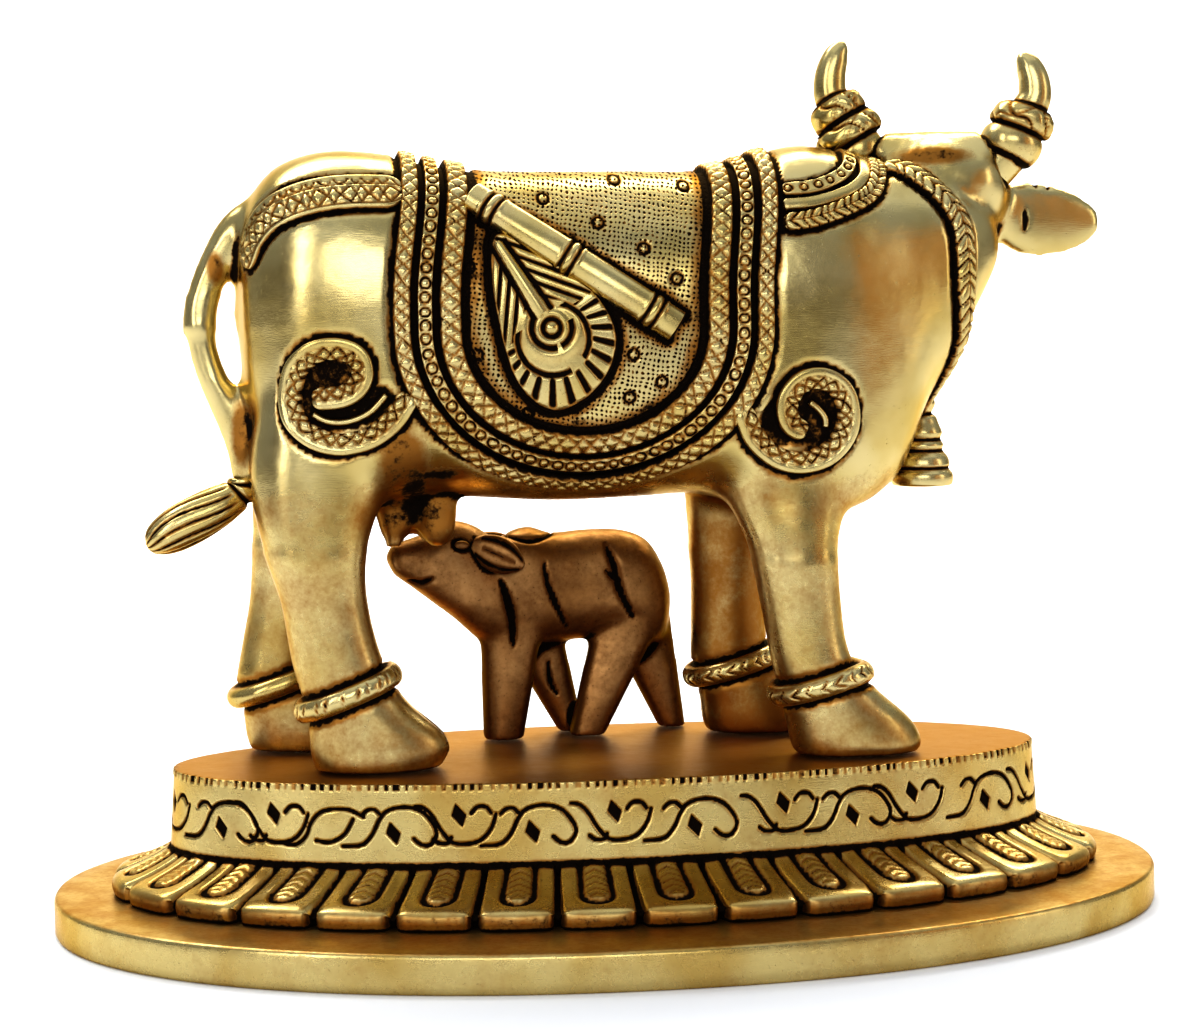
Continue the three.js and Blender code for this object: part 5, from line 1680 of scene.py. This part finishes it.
# Brown also takes the tarnish channel, which holds tarnish and painted warm reflection.
brown = calc(tree, "ADD", calc(tree, "MULTIPLY_ADD", given["Stain"], 1.5, given["Tarnish"]), film)
wire(tree, smooth_range(tree, calc(tree, "MULTIPLY_ADD", grit, 0.5, brown), 0.2, 0.9), made["Brown"])
patina_group = tree

# %% Colour of old brass
tree, given, made = new_group(
    "old_brass_colour",
    [("Place", VECTOR, None), ("Black", FLOAT, 0.0), ("Brown", FLOAT, 0.0),
     ("Rubbed", COLOUR, (0.62, 0.50, 0.24, 1)), ("Deep", COLOUR, (0.42, 0.27, 0.07, 1)),
     ("Warm", COLOUR, (0.30, 0.12, 0.025, 1))],
    [("Colour", COLOUR)],
)
drift = smooth_range(tree, noise_of(tree, given["Place"], 0.07, 3.0, 0.5), 0.35, 0.7)
bright = blend_colours(tree, drift, given["Rubbed"], given["Deep"])
warmed = blend_colours(tree, given["Brown"], bright, given["Warm"])
# Near black of the patina in the cuts; it also colours the painted shade and shadow that the stain holds
# beside raised parts.
patina_and_shade_black = (0.010, 0.006, 0.004, 1)
wire(tree, blend_colours(tree, given["Black"], warmed, patina_and_shade_black), made["Colour"])
colour_group = tree

# %% Gloss, metal and the fine height of hand work
tree, given, made = new_group(
    "hand_finish",
    [("Place", VECTOR, None), ("Black", FLOAT, 0.0), ("Brown", FLOAT, 0.0), ("Polish", FLOAT, 0.2),
     ("Scratches", FLOAT, 0.5), ("Hammering", FLOAT, 0.5)],
    [("Roughness", FLOAT), ("Metallic", FLOAT), ("Height", FLOAT)],
)
lengthwise = noise_of(tree, scaled(tree, given["Place"], (0.22, 1.0, 3.6)), 1.6, 4.0, 0.6)
slanting = noise_of(tree, scaled(tree, given["Place"], (0.35, 1.0, 3.0), (0.0, 0.7, 0.4)), 2.2, 3.0, 0.6)
scratch = calc(tree, "MULTIPLY", calc(tree, "ADD", lengthwise, slanting), given["Scratches"])
broad = noise_of(tree, given["Place"], 0.05, 2.0, 0.5)
dents = calc(tree, "MULTIPLY_ADD", broad, 4.0, noise_of(tree, given["Place"], 0.28, 2.0, 0.4))
dents = calc(tree, "MULTIPLY", dents, given["Hammering"])
rough = calc(tree, "MULTIPLY_ADD", noise_of(tree, given["Place"], 0.5, 4.0, 0.6), 0.14, given["Polish"])
rough = calc(tree, "MULTIPLY_ADD", given["Brown"], 0.16, rough)
wire(tree, calc(tree, "MULTIPLY_ADD", given["Black"], 0.4, rough), made["Roughness"])
wire(tree, smooth_range(tree, given["Black"], 0.0, 1.0, 1.0, 0.85), made["Metallic"])
flakes = calc(tree, "MULTIPLY", noise_of(tree, given["Place"], 3.2, 4.0, 0.6), given["Black"])
height = calc(tree, "MULTIPLY_ADD", dents, 0.9, calc(tree, "MULTIPLY", scratch, 0.05))
wire(tree, calc(tree, "MULTIPLY_ADD", flakes, 0.16, height), made["Height"])
finish_group = tree

# %% Punched ground of the saddle cloth
tree, given, made = new_group(
    "punched_ground",
    [("Place", VECTOR, None), ("Pitch", FLOAT, 1.05)],
    [("Dots", FLOAT)],
)
parts = tree.nodes.new("ShaderNodeSeparateXYZ")
wobble = tree.nodes.new("ShaderNodeTexNoise")
wire(tree, given["Place"], wobble.inputs["Vector"])
wobble.inputs["Scale"].default_value = 0.35
shifted = tree.nodes.new("ShaderNodeVectorMath")
shifted.operation = "MULTIPLY_ADD"
wire(tree, wobble.outputs["Color"], shifted.inputs[0])
shifted.inputs[1].default_value = (1.4, 1.4, 1.4)
wire(tree, scaled(tree, given["Place"], (1.0, 1.0, 1.0), (0.0, 0.62, 0.0)), shifted.inputs[2])
wire(tree, shifted.outputs[0], parts.inputs[0])
waves = []
for axis in ("X", "Z"):
    phase = calc(tree, "DIVIDE", parts.outputs[axis], given["Pitch"])
    waves.append(calc(tree, "SINE", calc(tree, "MULTIPLY", phase, 2 * math.pi)))
product = calc(tree, "MULTIPLY", waves[0], waves[1])
uneven = calc(tree, "SUBTRACT", noise_of(tree, given["Place"], 0.9, 2.0), 0.5)
wire(tree, smooth_range(tree, calc(tree, "MULTIPLY_ADD", uneven, 1.1, product), 0.18, 0.62), made["Dots"])
ground_group = tree

# %% The five finishes
# colour of the reflections at a grazing angle, where the thin brown oxide shows most
OXIDE_TINT = (0.86, 0.66, 0.42, 1)


def brass(name, rubbed_colour, deep, warm, film, polish, scratches, hammering, bump_mm=0.35, punched=False):
    material = bpy.data.materials.new(name)
    material.use_nodes = True
    tree = material.node_tree
    shader = tree.nodes["Principled BSDF"]
    place = scaled(tree, tree.nodes.new("ShaderNodeTexCoord").outputs["Object"], (1 / MM, 1 / MM, 1 / MM))
    stain = tree.nodes.new("ShaderNodeAttribute")
    stain.attribute_name = "stain"
    # This attribute holds tarnish together with painted warm reflection and painted shade.
    tarnish_and_reflection = tree.nodes.new("ShaderNodeAttribute")
    tarnish_and_reflection.attribute_name = "tarnish_and_reflection"

    def use(group, **values):
        node = tree.nodes.new("ShaderNodeGroup")
        node.node_tree = group
        for title, value in values.items():
            wire(tree, value, node.inputs[title])
        return node.outputs

    stain_value, dots = stain.outputs["Fac"], None
    if punched:
        dots = use(ground_group, Place=place)["Dots"]
        stain_value = calc(tree, "MAXIMUM", stain_value, calc(tree, "MULTIPLY", dots, 0.66))
    masks = use(patina_group, Place=place, Stain=stain_value, Tarnish=tarnish_and_reflection.outputs["Fac"], Film=film)
    colour = use(colour_group, Place=place, Black=masks["Black"], Brown=masks["Brown"],
                 Rubbed=(*rubbed_colour, 1), Deep=(*deep, 1), Warm=(*warm, 1))
    finish = use(finish_group, Place=place, Black=masks["Black"], Brown=masks["Brown"], Polish=polish,
                 Scratches=scratches, Hammering=hammering)
    wire(tree, colour["Colour"], shader.inputs["Base Color"])
    wire(tree, finish["Roughness"], shader.inputs["Roughness"])
    wire(tree, finish["Metallic"], shader.inputs["Metallic"])
    height = finish["Height"]
    if punched:
        height = calc(tree, "MULTIPLY_ADD", dots, -0.42, height)
    relief = tree.nodes.new("ShaderNodeBump")
    relief.inputs["Strength"].default_value = 0.8
    relief.inputs["Distance"].default_value = bump_mm * MM
    wire(tree, height, relief.inputs["Height"])
    wire(tree, relief.outputs["Normal"], shader.inputs["Normal"])
    shader.inputs["Specular IOR Level"].default_value = 0.3
    shader.inputs["Specular Tint"].default_value = OXIDE_TINT
    return material


COW_TONES = ((0.62, 0.50, 0.225), (0.50, 0.37, 0.12), (0.28, 0.12, 0.022))
BASE_TONES = ((0.58, 0.45, 0.18), (0.46, 0.31, 0.09), (0.31, 0.14, 0.03))
CALF_TONES = ((0.42, 0.22, 0.08), (0.26, 0.12, 0.036), (0.11, 0.04, 0.01))
finishes = {
    "cow": brass("rubbed_cow_brass", *COW_TONES, film=0.1, polish=0.17, scratches=0.8, hammering=0.3),
    "carved": brass("carved_band_brass", *COW_TONES, film=0.26, polish=0.18, scratches=0.6, hammering=0.2),
    "cloth": brass("punched_cloth_brass", *COW_TONES, film=0.26, polish=0.2, scratches=0.3, hammering=0.3,
                   punched=True),
    "base": brass("base_brass", *BASE_TONES, film=0.26, polish=0.2, scratches=1.1, hammering=0.25),
    "calf": brass("calf_brass", *CALF_TONES, film=0.5, polish=0.28, scratches=0.8, hammering=0.8),
}

# %% Tarnish, with painted warm reflection and shade on the lower parts and on the tops of the base
def set_tarnish_and_reflection(mesh, amount):
    layer = mesh.attributes.get("tarnish_and_reflection") or mesh.attributes.new("tarnish_and_reflection", "FLOAT", "POINT")
    layer.data.foreach_set("value", np.clip(amount, 0, 1).astype(np.float32))


x, y, z = corners(body_mesh).T
# Lower legs, belly and the inner face of the far fore leg get browner: tarnish, with painted warm reflection
# and painted shade under the body.
legs = 1 - soft_step(58, 70, z)
inner_side = soft_step(-0.2, 0.6, -corner_normals(body_mesh)[:, 1])
far_fore = legs * soft_step(2, 7, y) * (x > 0) * inner_side
belly = (1 - soft_step(67, 74, z)) * soft_step(58, 64, z)
set_tarnish_and_reflection(body_mesh, np.maximum.reduce([0.7 * far_fore, 0.4 * legs, 0.4 * belly, 0.5 * crust]))
# The calf's legs get browner on their front and back faces.
leg_sides = np.abs(calf_normals[:, 0]) * (1 - soft_step(40, 48, calf_points[:, 2]))
set_tarnish_and_reflection(calf_mesh, 0.7 * soft_step(0.35, 0.9, leg_sides))
# Painted reflection: the flat tops of the drum and the plate are made brown.
z = corners(base_meshes["drum"])[:, 2]
set_tarnish_and_reflection(base_meshes["drum"], 0.7 * (z > DRUM_TOP - 0.02))
z = corners(base_meshes["plate"])[:, 2]
set_tarnish_and_reflection(base_meshes["plate"], 0.35 * (z > PLATE_HEIGHT - 0.2))
print("finishes:", list(finishes))

# %% [markdown]
# ## Put the pieces together
#
# Each mesh becomes one piece that rides on the statue's only body. The finished skins stand for the
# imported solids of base, cow and calf, which are hidden. Smooth shading rounds the fine facets.

# %% Pieces
def piece(name, mesh, finish, slot, stands_for=None):
    thing = bpy.data.objects.new(name, mesh)
    bpy.context.scene.collection.objects.link(thing)
    mesh.name = name
    mesh.materials.clear()
    mesh.materials.append(finishes[finish])
    mesh.shade_smooth()
    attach(thing, "root")
    if stands_for:
        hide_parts(stands_for)
    return thing


piece("cow_body", body_mesh, "cow", "cow_brass", "cow")
for name, mesh in bands.items():
    smooth_ones = ("eye_left", "eye_right", "forehead_drop")
    finish = "cloth" if name == "cloth_ground" else "cow" if name in smooth_ones else "carved"
    piece(name, mesh, finish, "cow_brass")
piece("calf_body", calf_mesh, "calf", "calf_brass", "calf")
for name, mesh in calf_details.items():
    piece(name, mesh, "calf", "calf_brass")
for name, mesh in base_meshes.items():
    piece(name, mesh, "base", "base_brass", "base" if name == "drum" else None)

total = 0
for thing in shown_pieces():
    thing.data.calc_loop_triangles()
    total += len(thing.data.loop_triangles)
    if len(thing.data.loop_triangles) > 100000:
        print(thing.name, len(thing.data.loop_triangles), "triangles")
print("all pieces:", total, "triangles")

# %% [markdown]
# ## Studio
#
# Polished brass shows its surroundings more than itself. A pale floor that curves up behind, a
# broad lamp above, one at each side, one in front and a dim room give it long soft lights. Three
# upright boards beside the camera, brown and dark, stand just above the floor. Only the brass sees
# them, as the warm and dark shapes in its reflections.

# %% Floor that curves up into a backdrop
def backdrop(width=4.0, front=-2.6, back=1.1, height=2.2, bend=0.5):
    bm = bmesh.new()
    bmesh.ops.create_grid(bm, x_segments=1, y_segments=1, size=width / 2)
    bmesh.ops.translate(bm, verts=bm.verts, vec=(0, front + width / 2, 0))
    rear = [e for e in bm.edges if all(v.co.y > front + width - 0.01 for v in e.verts)]
    bmesh.ops.translate(bm, verts=rear[0].verts, vec=(0, back - (front + width), 0))
    steps = 12
    edge = rear
    for k in range(steps + 1):
        made_now = bmesh.ops.extrude_edge_only(bm, edges=edge)["geom"]
        new_verts = [g for g in made_now if isinstance(g, bmesh.types.BMVert)]
        if k < steps:
            a, b = (math.pi / 2 * k / steps, math.pi / 2 * (k + 1) / steps)
            move = (0, bend * (math.sin(b) - math.sin(a)), bend * (math.cos(a) - math.cos(b)))
        else:
            move = (0, 0, height)
        bmesh.ops.translate(bm, verts=new_verts, vec=move)
        edges = [g for g in made_now if isinstance(g, bmesh.types.BMEdge)]
        edge = [e for e in edges if all(v in new_verts for v in e.verts)]
    bmesh.ops.recalc_face_normals(bm, faces=bm.faces)
    mesh = bpy.data.meshes.new("studio_floor")
    bm.to_mesh(mesh)
    bm.free()
    mesh.shade_smooth()
    return mesh


paper = bpy.data.materials.new("studio_paper")
paper.use_nodes = True
paper.node_tree.nodes["Principled BSDF"].inputs["Base Color"].default_value = (0.9, 0.9, 0.9, 1)
paper.node_tree.nodes["Principled BSDF"].inputs["Roughness"].default_value = 0.8
floor = bpy.data.objects.new("studio_floor", backdrop())
floor.data.materials.append(paper)
bpy.context.scene.collection.objects.link(floor)
floor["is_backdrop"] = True

# %% Soft lights
def soft_lamp(name, place, target, size, power, colour=(1, 1, 1)):
    lamp = bpy.data.lights.new(name, "AREA")
    lamp.shape = "RECTANGLE"
    lamp.size, lamp.size_y = size
    lamp.energy = power
    lamp.color = colour
    thing = bpy.data.objects.new(name, lamp)
    thing.location = place
    thing.rotation_mode = "QUATERNION"
    thing.rotation_quaternion = (Vector(target) - Vector(place)).to_track_quat("-Z", "Y")
    bpy.context.scene.collection.objects.link(thing)


MIDDLE = (0, 0, 0.07)
soft_lamp("lamp_above", (0.05, -0.1, 1.05), MIDDLE, (1.4, 1.1), 2.4, (0.93, 0.97, 1.0))
soft_lamp("lamp_left", (-0.75, -0.75, 0.45), MIDDLE, (0.2, 0.6), 2.2)
soft_lamp("lamp_right", (0.9, -0.35, 0.3), MIDDLE, (0.2, 0.5), 0.8, (1.0, 0.85, 0.65))
soft_lamp("lamp_front", (-0.25, -2.2, 0.8), MIDDLE, (1.5, 0.8), 12, (0.95, 0.98, 1.0))
soft_lamp("lamp_behind", (0.1, 0.6, 1.0), (0, 0.95, 0.2), (1.8, 0.5), 30)
BOARD_GAP = 0.04


def board(name, x, y, width, height, colour):
    """An upright board that faces the statue and is left out of the picture itself."""
    bm = bmesh.new()
    bmesh.ops.create_cube(bm, size=1.0)
    bmesh.ops.scale(bm, verts=bm.verts, vec=(width, 0.01, height))
    bmesh.ops.rotate(bm, verts=bm.verts, cent=(0, 0, 0), matrix=Matrix.Rotation(math.atan2(-x, y), 3, "Z"))
    bmesh.ops.translate(bm, verts=bm.verts, vec=(x, y, height / 2 + BOARD_GAP))
    mesh = bpy.data.meshes.new(name)
    bm.to_mesh(mesh)
    bm.free()
    paint = bpy.data.materials.new(name)
    paint.use_nodes = True
    paint.node_tree.nodes["Principled BSDF"].inputs["Base Color"].default_value = (*colour, 1)
    mesh.materials.append(paint)
    thing = bpy.data.objects.new(name, mesh)
    bpy.context.scene.collection.objects.link(thing)
    thing.visible_camera = False
    thing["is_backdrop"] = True


board("dark_board_front", 0.27, -0.72, 0.15, 0.5, (0.05, 0.035, 0.02))
board("warm_board_right", 0.53, -0.47, 0.24, 0.45, (0.46, 0.235, 0.08))
board("dark_board_left", -0.62, -0.3, 0.16, 0.5, (0.05, 0.04, 0.03))
room = bpy.data.worlds.new("pale_room")
room.use_nodes = True
tree = room.node_tree
direction = tree.nodes.new("ShaderNodeTexCoord").outputs["Generated"]
split = tree.nodes.new("ShaderNodeSeparateXYZ")
wire(tree, direction, split.inputs[0])
uneven = calc(tree, "MULTIPLY_ADD", noise_of(tree, direction, 1.6, 2.0), 0.7, split.outputs["Z"])
sky = smooth_range(tree, uneven, 0.1, 0.8)
wire(tree, blend_colours(tree, sky, (0.26, 0.20, 0.14, 1), (0.84, 0.94, 1.1, 1)),
     tree.nodes["Background"].inputs["Color"])
tree.nodes["Background"].inputs["Strength"].default_value = 0.42
bpy.context.scene.world = room
bpy.context.scene.view_settings.view_transform = "Standard"
bpy.context.scene.view_settings.look = "Medium High Contrast"

# %% Camera at the photograph's place
CAMERA_TURN, CAMERA_RISE, CAMERA_ROLL = math.radians(-7.14), math.radians(4.6), math.radians(-1.0)
CAMERA_DISTANCE, CAMERA_TARGET = 0.420, Vector((-0.0009, 0, 0.0632))
SENSOR, FOCAL_PIXELS, PHOTO_WIDTH = 36.0, 2610, 1200
backward = Vector((
    math.sin(CAMERA_TURN) * math.cos(CAMERA_RISE),
    -math.cos(CAMERA_TURN) * math.cos(CAMERA_RISE),
    math.sin(CAMERA_RISE),
))
level_right = Vector((math.cos(CAMERA_TURN), math.sin(CAMERA_TURN), 0))
level_up = backward.cross(level_right)
right = level_right * math.cos(CAMERA_ROLL) + level_up * math.sin(CAMERA_ROLL)
upright = -level_right * math.sin(CAMERA_ROLL) + level_up * math.cos(CAMERA_ROLL)
lens = bpy.data.cameras.new("camera")
lens.sensor_width = SENSOR
lens.lens = SENSOR * FOCAL_PIXELS / PHOTO_WIDTH
lens.clip_start, lens.clip_end = 0.01, 50
camera = bpy.data.objects.new("camera", lens)
camera.matrix_world = Matrix.Translation(CAMERA_TARGET + backward * CAMERA_DISTANCE) @ Matrix(
    (right, upright, backward)).transposed().to_4x4()
bpy.context.scene.collection.objects.link(camera)
bpy.context.scene.camera = camera
print("camera at, mm:", [round(c / MM, 1) for c in camera.matrix_world.translation])

# %% Bounds of the shown pieces
low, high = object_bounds()
